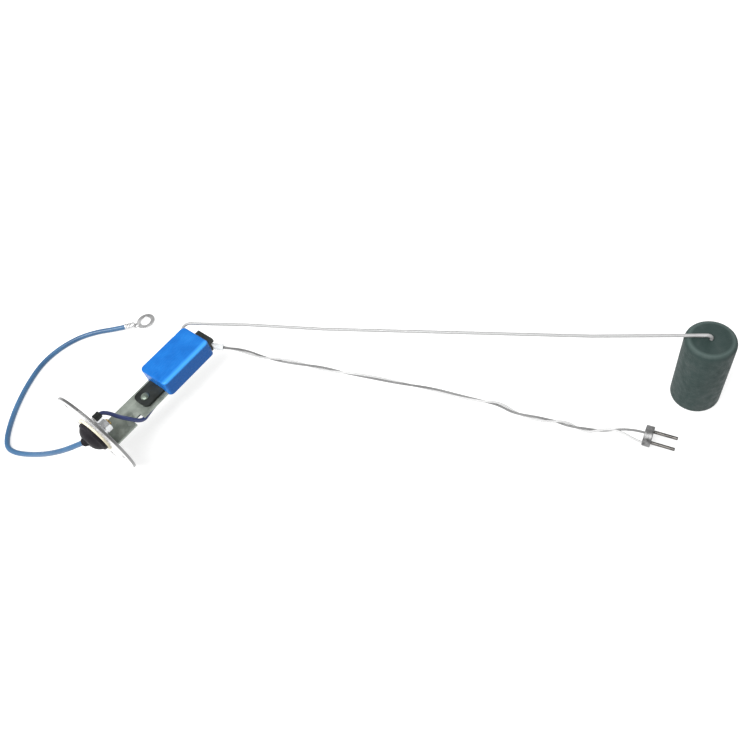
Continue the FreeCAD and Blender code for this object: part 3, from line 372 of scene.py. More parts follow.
def blue_moulding():
    """Cloudy mid blue and an uneven skin, with painted shade on the near wall and a painted highlight on the
    near top edge.
    """
    material, tree, shader = new_finish("blue_moulding", 0.3, 0.0, Specular_IOR_Level=0.15)
    where = place_on(tree)
    cloud = noise(tree, where, 0.011, 5, 0.4)
    plain = ramp(tree, cloud, (0.25, (0.006, 0.105, 0.4)), (0.55, (0.010, 0.14, 0.48)),
                 (0.85, (0.02, 0.19, 0.56)))
    low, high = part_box("cover")
    parts = parts_of(tree, where)
    # Painted highlight: a paler blue band along the near top edge stands in for light caught by the edge.
    near_edge = share(tree, parts["Y"], low.y + HIGHLIGHT_FADES, low.y + HIGHLIGHT_FULL)
    near_top = share(tree, parts["Z"], high.z - TOP_FADES, high.z - TOP_FULL)
    # Painted shade: a deeper blue on the near wall stands in for the shade on that side.
    wall_shade = share(tree, parts["Y"], low.y + WALL_SHADE_STARTS, low.y + WALL_SHADE_FULL)
    shaded_walls = blend(tree, wall_shade, plain, (0.004, 0.085, 0.32))
    painted_highlight = product(tree, near_edge, near_top)
    tree.links.new(blend(tree, painted_highlight, shaded_walls, (0.05, 0.3, 0.78)), shader.inputs["Base Color"])
    scratch = noise(tree, place_on(tree, (1, 12, 1)), 0.004, 6)
    tree.links.new(span(tree, scratch, 0.17, 0.36), shader.inputs["Roughness"])
    relief(tree, shader, (noise(tree, where, 0.006, 2), 0.00006), (scratch, 0.000008))
    return material


# %% [markdown]
# The other mouldings, the insulating boards and the rubber boot share one recipe: two close tones and a
# fine grain. They differ in tone, in the size of the grain and in how much they shine. Matt black needs
# a low shine, or the white surround turns it grey. The leads have a soft plastic covering whose tone
# changes slowly along them.

# %% Matt mouldings, boards and rubber
CLOUD_TO_GRAIN = 14


def fine_moulding(name, dark, light, rough=0.45, grain=0.0006, depth=0.00003, shine=0.4):
    """Two close tones in clouds fourteen grains wide, and the grain itself as relief."""
    material, tree, shader = new_finish(name, rough, Specular_IOR_Level=shine)
    where = place_on(tree)
    cloud = noise(tree, where, grain * CLOUD_TO_GRAIN, 5)
    tones(tree, shader, cloud, (0.3, dark), (0.75, light))
    tree.links.new(span(tree, cloud, rough * 0.8, rough * 1.2), shader.inputs["Roughness"])
    relief(tree, shader, (noise(tree, where, grain, 2), depth))
    return material


# %% Lead coverings
def lead_covering(name, dark, light, rough=0.38):
    """Soft plastic covering: slow changes of tone, small handling marks and a thin clear skin."""
    material, tree, shader = new_finish(name, rough, 0.0, Coat_Weight=0.15, Coat_Roughness=0.3)
    where = place_on(tree)
    slow = noise(tree, where, 0.03, 3)
    tones(tree, shader, slow, (0.3, dark), (0.7, light))
    marks = noise(tree, where, 0.0015, 5)
    tree.links.new(span(tree, marks, rough * 0.8, rough * 1.35), shader.inputs["Roughness"])
    relief(tree, shader, (marks, 0.00004))
    return material


# %% [markdown]
# The float is closed-cell foam: a mottled skin with tiny pores where it was cut. A painted highlight lies
# in a ring on its upper rim. The ring is the product of two masks: one rises and falls with the distance
# from the float's axis, and the other is one only near the top.

# %% Foam and the translucent sleeve
RIM_INNER, RIM_MIDDLE = 0.36, 0.42
RIM_FADES, RIM_FULL = 2.4 * MM, 1.2 * MM


def float_foam():
    """Dark green-grey with pores, and a painted highlight ring: 0 at 0.36 of the width from the axis, 1 at
    0.42, 0 at 0.48.
    """
    material, tree, shader = new_finish("float_foam", 0.62, 0.0, Specular_IOR_Level=0.25)
    where = place_on(tree)
    cloud = noise(tree, where, 0.014, 6, 0.6)
    foam = ramp(tree, cloud, (0.25, (0.016, 0.032, 0.029)), (0.55, (0.024, 0.042, 0.039)),
                (0.8, (0.042, 0.056, 0.053)))
    low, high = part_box("float")
    inner, middle = (high.x - low.x) * RIM_INNER, (high.x - low.x) * RIM_MIDDLE
    # Painted highlight: a paler ring near the top rim stands in for light on the rounded edge.
    reach = distance(tree, "x", "y", centre=(low + high) / 2)
    rim = ramp(tree, share(tree, reach, inner, middle + middle - inner), (0.0, grey(0)), (0.5, grey(1)),
               (1.0, grey(0)))
    top = share(tree, parts_of(tree, where)["Z"], high.z - RIM_FADES, high.z - RIM_FULL)
    painted_highlight = product(tree, rim, top)
    tree.links.new(blend(tree, painted_highlight, foam, (0.062, 0.09, 0.084)), shader.inputs["Base Color"])
    pores = cells(tree, where, 0.0009)
    tree.links.new(span(tree, noise(tree, where, 0.004, 4), 0.5, 0.75), shader.inputs["Roughness"])
    relief(tree, shader, (noise(tree, where, 0.005, 4), 0.0002), (pores, 0.00012))
    return material


def clear_sleeve():
    """Milky translucent sleeve."""
    material, tree, shader = new_finish("clear_sleeve", 0.3, 0.0, Transmission_Weight=0.35)
    cloud = noise(tree, place_on(tree), 0.003, 3)
    tones(tree, shader, cloud, (0.3, (0.72, 0.75, 0.77)), (0.7, (0.88, 0.9, 0.9)))
    relief(tree, shader, (cloud, 0.00004))
    return material


# %% [markdown]
# One table says which finish each node wears. Pieces made from the same stock share a finish, as they do
# on the real sender: the washer, nut and pin are all bright steel, and both insulators and the bush are
# the same pressed board.

# %% Finishes of the nodes
FINISHES = {
    "flange_plate": zinc_plate(),
    "bracket": galvanised(),
    "cover": blue_moulding(),
    "float": float_foam(),
    "pair_sleeve": clear_sleeve(),
}
black = fine_moulding("black_moulding", (0.008, 0.010, 0.009), (0.024, 0.028, 0.026), 0.4, shine=0.3)
board = fine_moulding("cream_board", (0.62, 0.57, 0.42), (0.8, 0.76, 0.62), 0.6)
brown = fine_moulding("brown_board", (0.13, 0.06, 0.02), (0.24, 0.13, 0.06), 0.5)
resin = fine_moulding("probe_resin", (0.3, 0.3, 0.29), (0.42, 0.42, 0.4), 0.4)
boot_rubber = fine_moulding("boot_rubber", (0.006, 0.005, 0.007), (0.018, 0.016, 0.019), 0.6,
                            grain=0.0009, depth=0.00006, shine=0.15)
bright = bright_metal("bright_steel", grey(0.5, -0.02), grey(0.78, -0.02), 0.22)
wire = bright_metal("bright_wire", grey(0.32), grey(0.42), 0.5, along=(30, 3, 30), blotch=0.05, metal=0.35)
tinned = bright_metal("tinned", grey(0.55), grey(0.72), 0.36, blotch=0.008)
dull_rivet = bright_metal("dark_rivet", grey(0.03), grey(0.09), 0.4)
rivet_steel = bright_metal("rivet_steel", (0.15, 0.18, 0.15), (0.26, 0.3, 0.26), 0.5)
brass = bright_metal("brass", (0.5, 0.35, 0.14), (0.72, 0.55, 0.27), 0.28)
spring_brass = bright_metal("spring_brass", (0.6, 0.45, 0.2), (0.8, 0.64, 0.36), 0.25)
resistance_wire = bright_metal("winding_wire", grey(0.3, 0.08), grey(0.5, 0.08), 0.35)
probe_metal = bright_metal("probe_metal", grey(0.09), grey(0.3), 0.36, blotch=0.003)
prong_metal = bright_metal("prong_metal", grey(0.08, 0.05), grey(0.2, 0.05), 0.36, blotch=0.003)
navy = lead_covering("navy_lead", (0.012, 0.02, 0.09), (0.03, 0.05, 0.17))
blue = lead_covering("blue_lead", (0.014, 0.07, 0.165), (0.04, 0.125, 0.25))
grey_covering = lead_covering("grey_lead", grey(0.11), grey(0.19), 0.45)
pale_covering = lead_covering("pale_lead", grey(0.42), grey(0.56), 0.45)
FINISHES |= dict.fromkeys(["carrier", "rotor", "tag_sleeve"], black)
FINISHES |= dict.fromkeys(["outer_insulator", "inner_insulator", "insulating_bush"], board)
FINISHES |= dict.fromkeys(["stud_washer", "stud_nut", "pivot_pin", "float_retainer"], bright)
FINISHES |= dict.fromkeys(["lead_eyelet", "inner_tag", "ring_terminal"], tinned)
FINISHES |= dict.fromkeys(["foot_rivets", "pivot_clip"], dull_rivet)
FINISHES |= {
    "terminal_boot": boot_rubber, "terminal_stud": brass, "carrier_rivets": rivet_steel,
    "resistor_card": brown, "resistance_winding": resistance_wire, "wiper": spring_brass,
    "float_arm": wire, "inner_lead": navy, "lead": blue, "reserve_pair": grey_covering,
    "probe_collar": probe_metal, "probe_insulator": resin, "probe_prongs": prong_metal,
}
print("finishes for", len(FINISHES), "nodes of", len(frame["nodes"]))

# %% [markdown]
# A visible piece stands for a node of the imported model. It rides on that node's body, so it moves with
# the joint, and it wears the node's finish. One function does all of that for every piece,
# so none can be left behind when the arm swings.


def dress(piece, node, finish=None):
    """Gives a piece the finish of its node, or its own, and lets it stand for that node and ride with it."""
    piece.data.materials.clear()
    piece.data.materials.append(finish or FINISHES[node])
    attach(piece, frame["nodes"][node]["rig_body"])
    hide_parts(node)
    return piece


# %% [markdown]
# Every new shape here is a surface given by two parameters: a grid of points, worked out as whole
# arrays. One function turns such a grid into a mesh. Its rows close on themselves, as round a tube, and
# its first and last row may be filled with a cap. Points that fall together at a pole are merged, and
# then the faces are turned to point outwards.

# %% From a grid of points to a mesh
MERGE_BELOW = 1e-7


def surface(name, grid, cap_ends=False):
    """Mesh from grid[i, j]: i runs along the piece, j runs round it and closes on itself."""
    rows, around, _ = grid.shape
    number = np.arange(rows * around).reshape(rows, around)
    beside = np.roll(number, -1, axis=1)
    quads = np.stack([number[:-1], number[1:], beside[1:], beside[:-1]], axis=-1).reshape(-1, 4)
    faces = quads.tolist()
    if cap_ends:
        faces += [number[0].tolist(), number[-1][::-1].tolist()]
    mesh = bpy.data.meshes.new(name)
    mesh.from_pydata(grid.reshape(-1, 3).tolist(), [], faces)
    mesh.validate()
    clean = bmesh.new()
    clean.from_mesh(mesh)
    bmesh.ops.remove_doubles(clean, verts=clean.verts, dist=MERGE_BELOW)
    bmesh.ops.recalc_face_normals(clean, faces=clean.faces)
    clean.to_mesh(mesh)
    clean.free()
    mesh.shade_smooth()
    piece = bpy.data.objects.new(name, mesh)
    bpy.context.scene.collection.objects.link(piece)
    return piece


# %% [markdown]
# Three kinds of surface make every new piece. A tube carries a ring along a path. A turned piece carries
# a profile round an axis, as on a lathe. A profile's corners are rounded first, because no moulded or
# stamped edge is perfectly sharp, and a rounded one catches a thin line of light.

# %% Tubes
def frames_along(path, reference=(0, 0, 1)):
    """Tangent, sideways and upward unit vectors along a path that never runs along the reference."""
    path = np.asarray(path, float)
    tangent = np.gradient(path, axis=0)
    tangent /= np.linalg.norm(tangent, axis=1, keepdims=True)
    side = np.cross(tangent, np.asarray(reference, float))
    side /= np.linalg.norm(side, axis=1, keepdims=True)
    return tangent, side, np.cross(side, tangent)


def swept(name, path, radius, around=20):
    """Tube: point(i, j) = path(i) + radius(i, j) (cos a(j) side(i) + sin a(j) up(i)), capped at both ends."""
    path = np.asarray(path, float)
    _, side, up = frames_along(path)
    angle = np.linspace(0, 2 * np.pi, around, endpoint=False)
    radius = np.asarray(radius, float)
    radius = np.broadcast_to(radius.reshape(-1, 1) if radius.ndim < 2 else radius, (len(path), around))
    ring = np.cos(angle)[None, :, None] * side[:, None] + np.sin(angle)[None, :, None] * up[:, None]
    return surface(name, path[:, None] + radius[..., None] * ring, True)


# %% Turned pieces
LOBES = 3
LOBE_TWIST = 90


def turned(name, profile, centre, axis, around=64, wobble=0.0):
    """point(i, j) = centre + along(i) axis + r (cos a(j) u + sin a(j) v), round any axis.

    The radius is r = radius(i) (1 + wobble sin(3 a(j) + 90 along(i))): three faint lobes that turn.
    """
    profile = np.asarray(profile, float)
    axis = np.asarray(Vector(axis).normalized())
    u = np.asarray(Vector(axis).orthogonal().normalized())
    v = np.cross(axis, u)
    angle = np.linspace(0, 2 * np.pi, around, endpoint=False)
    radius = profile[:, 1:] * (1 + wobble * np.sin(LOBES * angle + profile[:, :1] * LOBE_TWIST))
    ring = np.cos(angle)[:, None] * u + np.sin(angle)[:, None] * v
    along = np.asarray(centre) + profile[:, 0, None] * axis
    return surface(name, along[:, None] + radius[..., None] * ring[None])


def rounded(corner_points, radii, steps=6):
    """Each inner corner c becomes the curve (1 - t)^2 start + 2 t (1 - t) c + t^2 end on its two sides."""
    points = np.asarray(corner_points, float)
    out = [points[:1]]
    t = np.linspace(0, 1, steps)[:, None]
    for before, corner, after, radius in zip(points, points[1:], points[2:], radii):
        back = before - corner
        ahead = after - corner
        start = corner + back / np.linalg.norm(back) * radius
        end = corner + ahead / np.linalg.norm(ahead) * radius
        out.append((1 - t) ** 2 * start + 2 * t * (1 - t) * corner + t ** 2 * end)
    out.append(points[-1:])
    return np.concatenate(out)


print("a rounded corner has", len(rounded([(0, 0), (1, 0), (1, 1)], [0.1])), "points with its ends")

# %% [markdown]
# The blue supply lead leaves the boot and curls round on the bench to its ring terminal, shown
# from end to end. A lead is one smooth bend after another, so its centre line is a NURBS curve: the
# points pull it like weights on a thread and it never kinks. They are the same points as in the solid.

# %% Route of the supply lead
LEAD_ROUTE = [
    (-10.6, 4.6, -2.6),
    (-17.4, 13.2, -7.7),
    (-23.6, 22.6, -13.0),
    (-30.2, 36.2, -20.4),
    (-35.6, 50.2, -27.4),
    (-40.3, 62.6, -31.9),
    (-44.2, 72.2, -33.0),
    (-45.2, 80.6, -33.0),
    (-40.8, 88.2, -33.0),
    (-31.4, 97.0, -33.0),
    (-17.2, 107.2, -33.0),
    (0.6, 116.6, -33.0),
    (20.4, 123.4, -33.0),
    (38.6, 122.8, -33.0),
    (55.2, 117.2, -33.0),
    (68.0, 107.4, -32.8),
    (77.7, 95.9, -32.5),
    (84.6, 89.3, -32.5),
]
LEAD_WIDTH = 4.0 * MM
print("lead route has", len(LEAD_ROUTE), "points")


# %% A smooth line and its points
def smooth_line(name, route, width):
    """A NURBS curve of order 3 from its first point to its last, with a round section of that width."""
    curve = bpy.data.curves.new(name, "CURVE")
    curve.dimensions = "3D"
    spline = curve.splines.new("NURBS")
    spline.points.add(len(route) - 1)
    for point, place in zip(spline.points, route):
        point.co = (*(v * MM for v in place), 1)
    spline.order_u = 3
    spline.use_endpoint_u = True
    spline.resolution_u = 10
    curve.bevel_depth = width / 2
    curve.bevel_resolution = 6
    curve.use_fill_caps = True
    line = bpy.data.objects.new(name, curve)
    bpy.context.scene.collection.objects.link(line)
    return line


def points_of(line):
    """The smooth line's own points, read with its thickness set aside for a moment."""
    thick = line.data.bevel_depth
    line.data.bevel_depth = 0
    bpy.context.view_layer.update()
    mesh = bpy.data.meshes.new_from_object(line)
    flat = np.empty(len(mesh.vertices) * 3)
    mesh.vertices.foreach_get("co", flat)
    bpy.data.meshes.remove(mesh)
    line.data.bevel_depth = thick
    return flat.reshape(-1, 3)


def length_of(path):
    """The sum of the steps between a path's points."""
    return float(np.linalg.norm(np.diff(path, axis=0), axis=1).sum())


def direction(start, end):
    """Unit vector from one route point to another."""
    ahead = (np.array(end) - np.array(start)) * MM
    return ahead / np.linalg.norm(ahead)


# %% Supply lead
lead = smooth_line("supply_lead", LEAD_ROUTE, LEAD_WIDTH)
lead_path = points_of(lead)
dress(lead, "lead")
print("lead", round(length_of(lead_path) / MM), "mm")

# %% [markdown]
# The pair is two thin leads, one grey and one nearly white, laid loosely round each other by hand. Two
# curves could be drawn freely, but they would soon cut through each other. Here the middle line is one
# smooth curve, and each strand winds round it on the side opposite to the other. The lay is uneven:
# TURNS_AT gives the turns made so far at some distances in mm, and at each whole turn the pale strand
# lies on top and hides the grey one. Near the probe the strands part, and each goes to its own joint.

# %% Route of the pair
PAIR_ROUTE = [
    (105.0, -18.4, -9.6),
    (107.3, -21.9, -10.9),
    (111.2, -26.6, -14.0),
    (115.4, -31.6, -19.0),
    (120.2, -38.2, -25.6),
    (126.4, -45.6, -31.0),
    (132.6, -57.2, -33.4),
    (137.4, -73.0, -33.4),
    (144.8, -95.0, -33.4),
    (153.2, -117.0, -33.4),
    (160.0, -138.2, -33.4),
    (168.4, -161.6, -33.4),
    (173.2, -181.0, -33.4),
    (178.6, -197.8, -33.4),
    (183.2, -209.6, -33.4),
    (182.2, -222.4, -33.4),
    (186.6, -238.4, -33.4),
    (193.4, -253.8, -33.4),
    (194.6, -267.2, -33.4),
    (199.6, -276.8, -32.2),
    (204.0, -284.8, -29.4),
    (207.0, -293.1, -28.0),
    (209.1, -302.5, -28.0),
]
print("pair route has", len(PAIR_ROUTE), "points")

# %% Strands of the pair
STRAND_WIDTH = 1.5 * MM
STRAND_POINTS = 320
TURNS_AT = ((0, 0.4), (36, 1), (95, 2), (204, 3), (255, 4), (283, 5), (330, 5.8))
HIDDEN = math.radians(237)
LAY_RADIUS, LAY_SWELL, LAY_WAVE = 0.52, 0.1, 31 * MM
PARTING = 28 * MM
JOINTS = ((-1.9, 0.0), (4.3, -2.4))
SUNK = 1.2 * MM


def strand(path, phase, joint):
    """point(s) = path(s) + (1 - q) r (cos p side + sin p up) + q (a side + b up).

    The share q goes smoothly from 0 to 1 over the last stretch, where the strands part.
    """
    last = path[-1] - path[-2]
    path = np.vstack([path, path[-1] + SUNK * last / np.linalg.norm(last)])
    along = np.concatenate([[0], np.cumsum(np.linalg.norm(np.diff(path, axis=0), axis=1))])
    even = np.linspace(0, along[-1], STRAND_POINTS)
    middle = np.stack([np.interp(even, along, path[:, axis]) for axis in range(3)], axis=1)
    _, side, up = frames_along(middle)
    left = np.clip((even[-1] - even) / PARTING, 0, 1)
    parting = 1 - left ** 2 * (3 - 2 * left)
    distance_mm, turns = np.transpose(TURNS_AT)
    turn = HIDDEN + phase + 2 * np.pi * np.interp(even / MM, distance_mm, turns)
    radius = STRAND_WIDTH * (LAY_RADIUS + LAY_SWELL * np.sin(even / LAY_WAVE))
    wound = np.cos(turn)[:, None] * side + np.sin(turn)[:, None] * up
    apart = (joint[0] * side + joint[1] * up) * MM
    return middle + (radius * (1 - parting))[:, None] * wound + parting[:, None] * apart


pair_line = smooth_line("pair_line", PAIR_ROUTE, 0.0)
pair_path = points_of(pair_line)
bpy.data.objects.remove(pair_line)
strand_paths = [strand(pair_path, n * math.pi, joint) for n, joint in enumerate(JOINTS)]
strands = [swept(f"pair_strand_{n + 1}", path, STRAND_WIDTH / 2, 12) for n, path in enumerate(strand_paths)]
for piece, covering in zip(strands, (grey_covering, pale_covering)):
    dress(piece, "reserve_pair", covering)
print("strands", [round(length_of(path) / MM) for path in strand_paths], "mm")

# %% [markdown]
# Stamped, folded and moulded pieces have small rounded edges that catch the light. Each such piece is
# a copy of its solid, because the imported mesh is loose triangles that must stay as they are. In the copy
# the triangles are merged, flat facets are joined into whole faces, and a bevel follows the sharp edges.
# Its width is what the way of making leaves: a narrow line on stamped sheet, a wider one on mouldings.

# %% Rigid pieces with softened edges
SHARP_ABOVE = math.radians(32)
FLAT_WITHIN = math.radians(0.5)
WELD_BELOW = 2e-6


def softened(node, width):
    """A copy of a CAD node, merged and with its sharp edges bevelled by width millimetres."""
    mesh = bpy.data.meshes.new(f"{node}_finished")
    clean = bmesh.new()
    clean.from_mesh(frame["nodes"][node].data)
    bmesh.ops.remove_doubles(clean, verts=clean.verts, dist=WELD_BELOW)
    bmesh.ops.dissolve_limit(clean, angle_limit=FLAT_WITHIN, verts=clean.verts, edges=clean.edges)
    for edge in clean.edges:
        edge.smooth = len(edge.link_faces) == 2 and edge.calc_face_angle(0) < SHARP_ABOVE
    for face in clean.faces:
        face.smooth = True
    clean.to_mesh(mesh)
    clean.free()
    piece = bpy.data.objects.new(f"{node}_finished", mesh)
    bpy.context.scene.collection.objects.link(piece)
    if width:
        bevel = piece.modifiers.new("edges", "BEVEL")
        bevel.width = width * MM
        bevel.segments = 2
        bevel.limit_method = "ANGLE"
        bevel.angle_limit = SHARP_ABOVE
        bevel.use_clamp_overlap = True
        bevel.harden_normals = True
    return dress(piece, node)


EDGE_WIDTHS = {
    "flange_plate": 0.12, "outer_insulator": 0.15, "lead_eyelet": 0.08, "insulating_bush": 0.1,
    "inner_insulator": 0.12, "stud_washer": 0.1, "inner_tag": 0.08, "tag_sleeve": 0.4, "stud_nut": 0.12,
    "bracket": 0.14, "foot_rivets": 0.1, "carrier": 0.25, "carrier_rivets": 0.1, "cover": 0.22,
    "resistor_card": 0.08, "resistance_winding": 0.05, "wiper": 0.04, "rotor": 0.2,
    "pivot_pin": 0.1, "pivot_clip": 0.05, "inner_lead": 0.0, "float_arm": 0.12,
    "float_retainer": 0.08, "pair_sleeve": 0.25, "probe_insulator": 0.1, "probe_collar": 0.3,
    "probe_prongs": 0.4,
}
softened_pieces = [softened(node, width) for node, width in EDGE_WIDTHS.items()]
print("softened", len(softened_pieces), "pieces")

# %% [markdown]
# The float is foam, cut and rounded at its rims, and not quite true. It is turned from a profile, with
# the bore at the top, the recess for the retainer below and a slight waviness in its radius. A cylinder
# with a bevel would be quicker, but its outline would be too straight for foam.

# %% Float
float_low, float_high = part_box("float")
float_radius = (float_high.x - float_low.x) / 2
float_height = float_high.z - float_low.z
float_centre = Vector(((float_low.x + float_high.x) / 2, (float_low.y + float_high.y) / 2, float_low.z))
BORE = 1.2 * MM
RECESS = 6.0 * MM
RECESS_DEPTH = 4.0 * MM
FLOAT_WAVINESS = 0.0012
FLOAT_SHRINK = 0.997


def make_float():
    """Radius r(s) along the profile, times 1 + w sin(3a + 90 s): a faint three-lobed waviness."""
    wall = float_radius * FLOAT_SHRINK
    corners = [
        (RECESS_DEPTH, BORE), (RECESS_DEPTH, RECESS), (0, RECESS), (0, wall),
        (float_height, wall), (float_height, BORE), (RECESS_DEPTH, BORE)]
    round_off = [0.4 * MM, 0.6 * MM, 3.2 * MM, 4.2 * MM, 0.9 * MM]
    profile = rounded(corners, round_off, 9)
    return turned("foam_float", profile, float_centre, (0, 0, 1), 96, FLOAT_WAVINESS)


foam_float = dress(make_float(), "float")
print("float", round(2 * float_radius / MM, 1), "by", round(float_height / MM, 1), "mm")

# %% [markdown]
# The boot over the terminal is soft moulded rubber: a low dome with a rolled rim, and an outlet that
# hugs the lead. The dome is turned about the flange's axis, and the outlet is a tube along the lead's
# first stretch with rings that let it bend. The two run into each other, as in one moulding.

# %% Dome of the boot
boot_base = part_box("outer_insulator")[0].x
BOOT_RADIUS = 12.5 * MM
BOOT_TOP = 7.2 * MM


def make_boot():
    """Dome profile, from its hollow underside out over the rim to the top."""
    corners = [
        (0.3 * MM, 0.2 * MM), (0.3 * MM, BOOT_RADIUS - 1.6 * MM), (0, BOOT_RADIUS - 1.0 * MM),
        (0, BOOT_RADIUS - 0.1 * MM), (2.2 * MM, BOOT_RADIUS - 0.1 * MM), (3.0 * MM, BOOT_RADIUS - 1.7 * MM),
        (5.0 * MM, BOOT_RADIUS - 3.3 * MM), (BOOT_TOP, 5.6 * MM), (BOOT_TOP - 0.2 * MM, 0.2 * MM)]
    radii = [v * MM for v in (0.3, 0.3, 0.5, 0.8, 0.5, 1.4, 2.2)]
    return turned("boot_dome", rounded(corners, radii, 6), (boot_base, 0, 0), (-1, 0, 0), 72)


boot_dome = dress(make_boot(), "terminal_boot")
print("boot base at x =", round(boot_base / MM, 1), "mm")

# %% Outlet of the boot
NOZZLE_RADIUS = 3.2 * MM
NOZZLE_LENGTH = 7.0 * MM
NOZZLE_RINGS = 5
RING_HEIGHT = 0.45 * MM
RINGS_FROM = 0.35
TIP_FROM = 0.93


def make_outlet():
    """Tube along the lead's first direction: r(s) falls from base to tip, with rings h sin^2(5 pi u)."""
    tip = np.array(LEAD_ROUTE[0]) * MM
    ahead = direction(LEAD_ROUTE[0], LEAD_ROUTE[1])
    s = np.linspace(0, 1, 60)
    path = tip + (s[:, None] - 1) * NOZZLE_LENGTH * ahead
    ringed = np.clip(s - RINGS_FROM, 0, 1) / (1 - RINGS_FROM)
    rings = RING_HEIGHT * np.sin(ringed * np.pi * NOZZLE_RINGS) ** 2
    end_round = 0.7 * MM * np.clip((s - TIP_FROM) / (1 - TIP_FROM), 0, 1) ** 2
    radius = NOZZLE_RADIUS * (1.3 - 0.3 * s) - 0.3 * MM + rings - end_round
    return swept("boot_outlet", path, radius, 40)


boot_outlet = dress(make_outlet(), "terminal_boot")
print("outlet", round(NOZZLE_LENGTH / MM, 1), "mm long with", NOZZLE_RINGS, "rings")

# %% [markdown]
# A thread is a ridge that climbs one pitch per turn, so its radius depends on the height and the angle
# together. A screw modifier could sweep a ridge too, but its ends need mending. The stud's inner end and
# its hexagon head are one surface of two parameters here, closed at both ends.

# %% Terminal stud with its thread
stud_low, stud_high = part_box("terminal_stud")
head_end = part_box("lead_eyelet")[0].x
STUD_RADIUS = 3.0 * MM
STUD_PITCH = 1.0 * MM
THREAD_DEPTH = 0.5 * MM
STUD_CHAMFER = 0.8 * MM
HEAD_HALF = 5.0 * MM
HEAD_CORNER = 1.1
HEAD_CHAMFER = 0.4 * MM
HEAD_ROWS, SHANK_ROWS = 9, 220


def make_stud():
    """Head: r = h / cos(a mod 60 - 30), a hexagon. Thread: r = R - d |2 frac(x / pitch - a / 2 pi) - 1|."""
    x = np.concatenate([np.linspace(stud_low.x, head_end, HEAD_ROWS),
                        np.linspace(head_end, stud_high.x, SHANK_ROWS)])
    angle = np.linspace(0, 2 * np.pi, 48, endpoint=False)
    phase = (x[:, None] / STUD_PITCH - angle[None] / (2 * np.pi)) % 1.0
    ridge = STUD_RADIUS - THREAD_DEPTH * np.abs(2 * phase - 1)
    chamfer = STUD_RADIUS - np.clip(x - (stud_high.x - STUD_CHAMFER), 0, None)
    shank = np.minimum(ridge, chamfer[:, None])
    flat = HEAD_HALF / np.cos((angle % (np.pi / 3)) - np.pi / 6)
    corner = HEAD_HALF * HEAD_CORNER - np.clip(stud_low.x + HEAD_CHAMFER - x, 0, None)
    head = np.minimum(flat[None], corner[:, None])
    radius = np.where(np.arange(len(x))[:, None] < HEAD_ROWS, head, shank)
    grid = np.stack([np.broadcast_to(x[:, None], radius.shape),
                     radius * np.cos(angle), radius * np.sin(angle)], axis=-1)
    return surface("threaded_stud", grid, True)


stud = dress(make_stud(), "terminal_stud")
print("stud", [round(v / MM, 2) for v in stud_high - stud_low], "mm")

# %% [markdown]
# The ring terminal is stamped from tinned sheet: an eye, a neck, and a barrel that is rolled round the
# lead and pressed twice. The eye is a ring with a rounded section. The barrel's radius is pushed in where
# the crimping tool closed. The neck is a thin plate that widens from one to the other.

# %% Eye of the ring terminal
RING_CENTRE = np.array([98.7, 80.0, 0]) * MM
RING_RADIUS = 7.7 * MM
RING_HOLE = 4.2 * MM
RING_THICK = 1.0 * MM
RING_EDGE = 0.22 * MM


def make_eye():
    """Ring with a rounded rectangular section, turned about the hole."""
    low, high = 0.0, RING_THICK
    corners = [(RING_THICK / 2, RING_HOLE), (high, RING_HOLE), (high, RING_RADIUS), (low, RING_RADIUS),
               (low, RING_HOLE), (RING_THICK / 2, RING_HOLE)]
    centre = RING_CENTRE + np.array([0, 0, bench])
    return turned("terminal_eye", rounded(corners, [RING_EDGE] * 4, 5), centre, (0, 0, 1), 80)


eye = dress(make_eye(), "ring_terminal")
print("ring terminal eye", round(2 * RING_RADIUS / MM, 1), "mm")

# %% Barrel of the ring terminal
LEAD_END = np.array(LEAD_ROUTE[-1]) * MM
LEAD_AHEAD = direction(LEAD_ROUTE[-2], LEAD_ROUTE[-1])
BARREL_RADIUS = 2.5 * MM
BARREL_LENGTH = 8.0 * MM
DENT_DEPTH = 0.8 * MM
DENTS_AT = (0.3, 0.66)
DENT_WIDTH = 0.1
LIP = 0.35 * MM
LIP_SHARE = 0.05


def make_barrel():
    """r(s, a) = R - two dents on the upper side: depth exp(-((s - s0) / w)^2) max(0, sin a)^2."""
    s = np.linspace(0, 1, 70)
    angle = np.linspace(0, 2 * np.pi, 48, endpoint=False)
    path = LEAD_END + s[:, None] * BARREL_LENGTH * LEAD_AHEAD
    dents = sum(np.exp(-((s - at) / DENT_WIDTH) ** 2) for at in DENTS_AT)
    pressed = np.clip(np.sin(angle), 0, 1) ** 2
    radius = BARREL_RADIUS - DENT_DEPTH * dents[:, None] * pressed[None]
    lips = LIP * (np.clip(LIP_SHARE - s, 0, 1) + np.clip(s - 1 + LIP_SHARE, 0, 1)) / LIP_SHARE
    return swept("terminal_barrel", path, radius - lips[:, None], 48)


barrel = dress(make_barrel(), "ring_terminal")
print("barrel", round(BARREL_LENGTH / MM, 1), "mm long")

# %% Neck of the ring terminal
NECK_FROM = 0.8
NECK_HALF, NECK_FLARE = 1.9, 1.4
NECK_OVERLAP = 1.2 * MM
NECK_RISE = 0.15 * MM
NECK_SINK = 0.03 * MM


def make_neck():
    """Plate from barrel to eye with four sides: half width w + f s^2, and a rise of h sin(pi s)."""
    start = LEAD_END + LEAD_AHEAD * BARREL_LENGTH * NECK_FROM
    reach = RING_CENTRE[:2] - start[:2]
    length = np.linalg.norm(reach)
    reach /= length
    across = np.array([-reach[1], reach[0]])
    s = np.linspace(0, (length - RING_RADIUS + NECK_OVERLAP) / length, 16)
    middle = start[:2] + s[:, None] * length * reach
    half = (NECK_HALF + NECK_FLARE * s ** 2) * MM
    sides = np.array([(-1, 0), (1, 0), (1, 1), (-1, 1)])
    flat = middle[:, None] + sides[None, :, 0, None] * half[:, None, None] * across
    rise = NECK_RISE * np.sin(np.pi * s / s[-1]) - NECK_SINK
    high = bench + sides[None, :, 1] * RING_THICK + rise[:, None]
    return surface("terminal_neck", np.concatenate([flat, high[..., None]], axis=-1), True)


neck = dress(make_neck(), "ring_terminal")
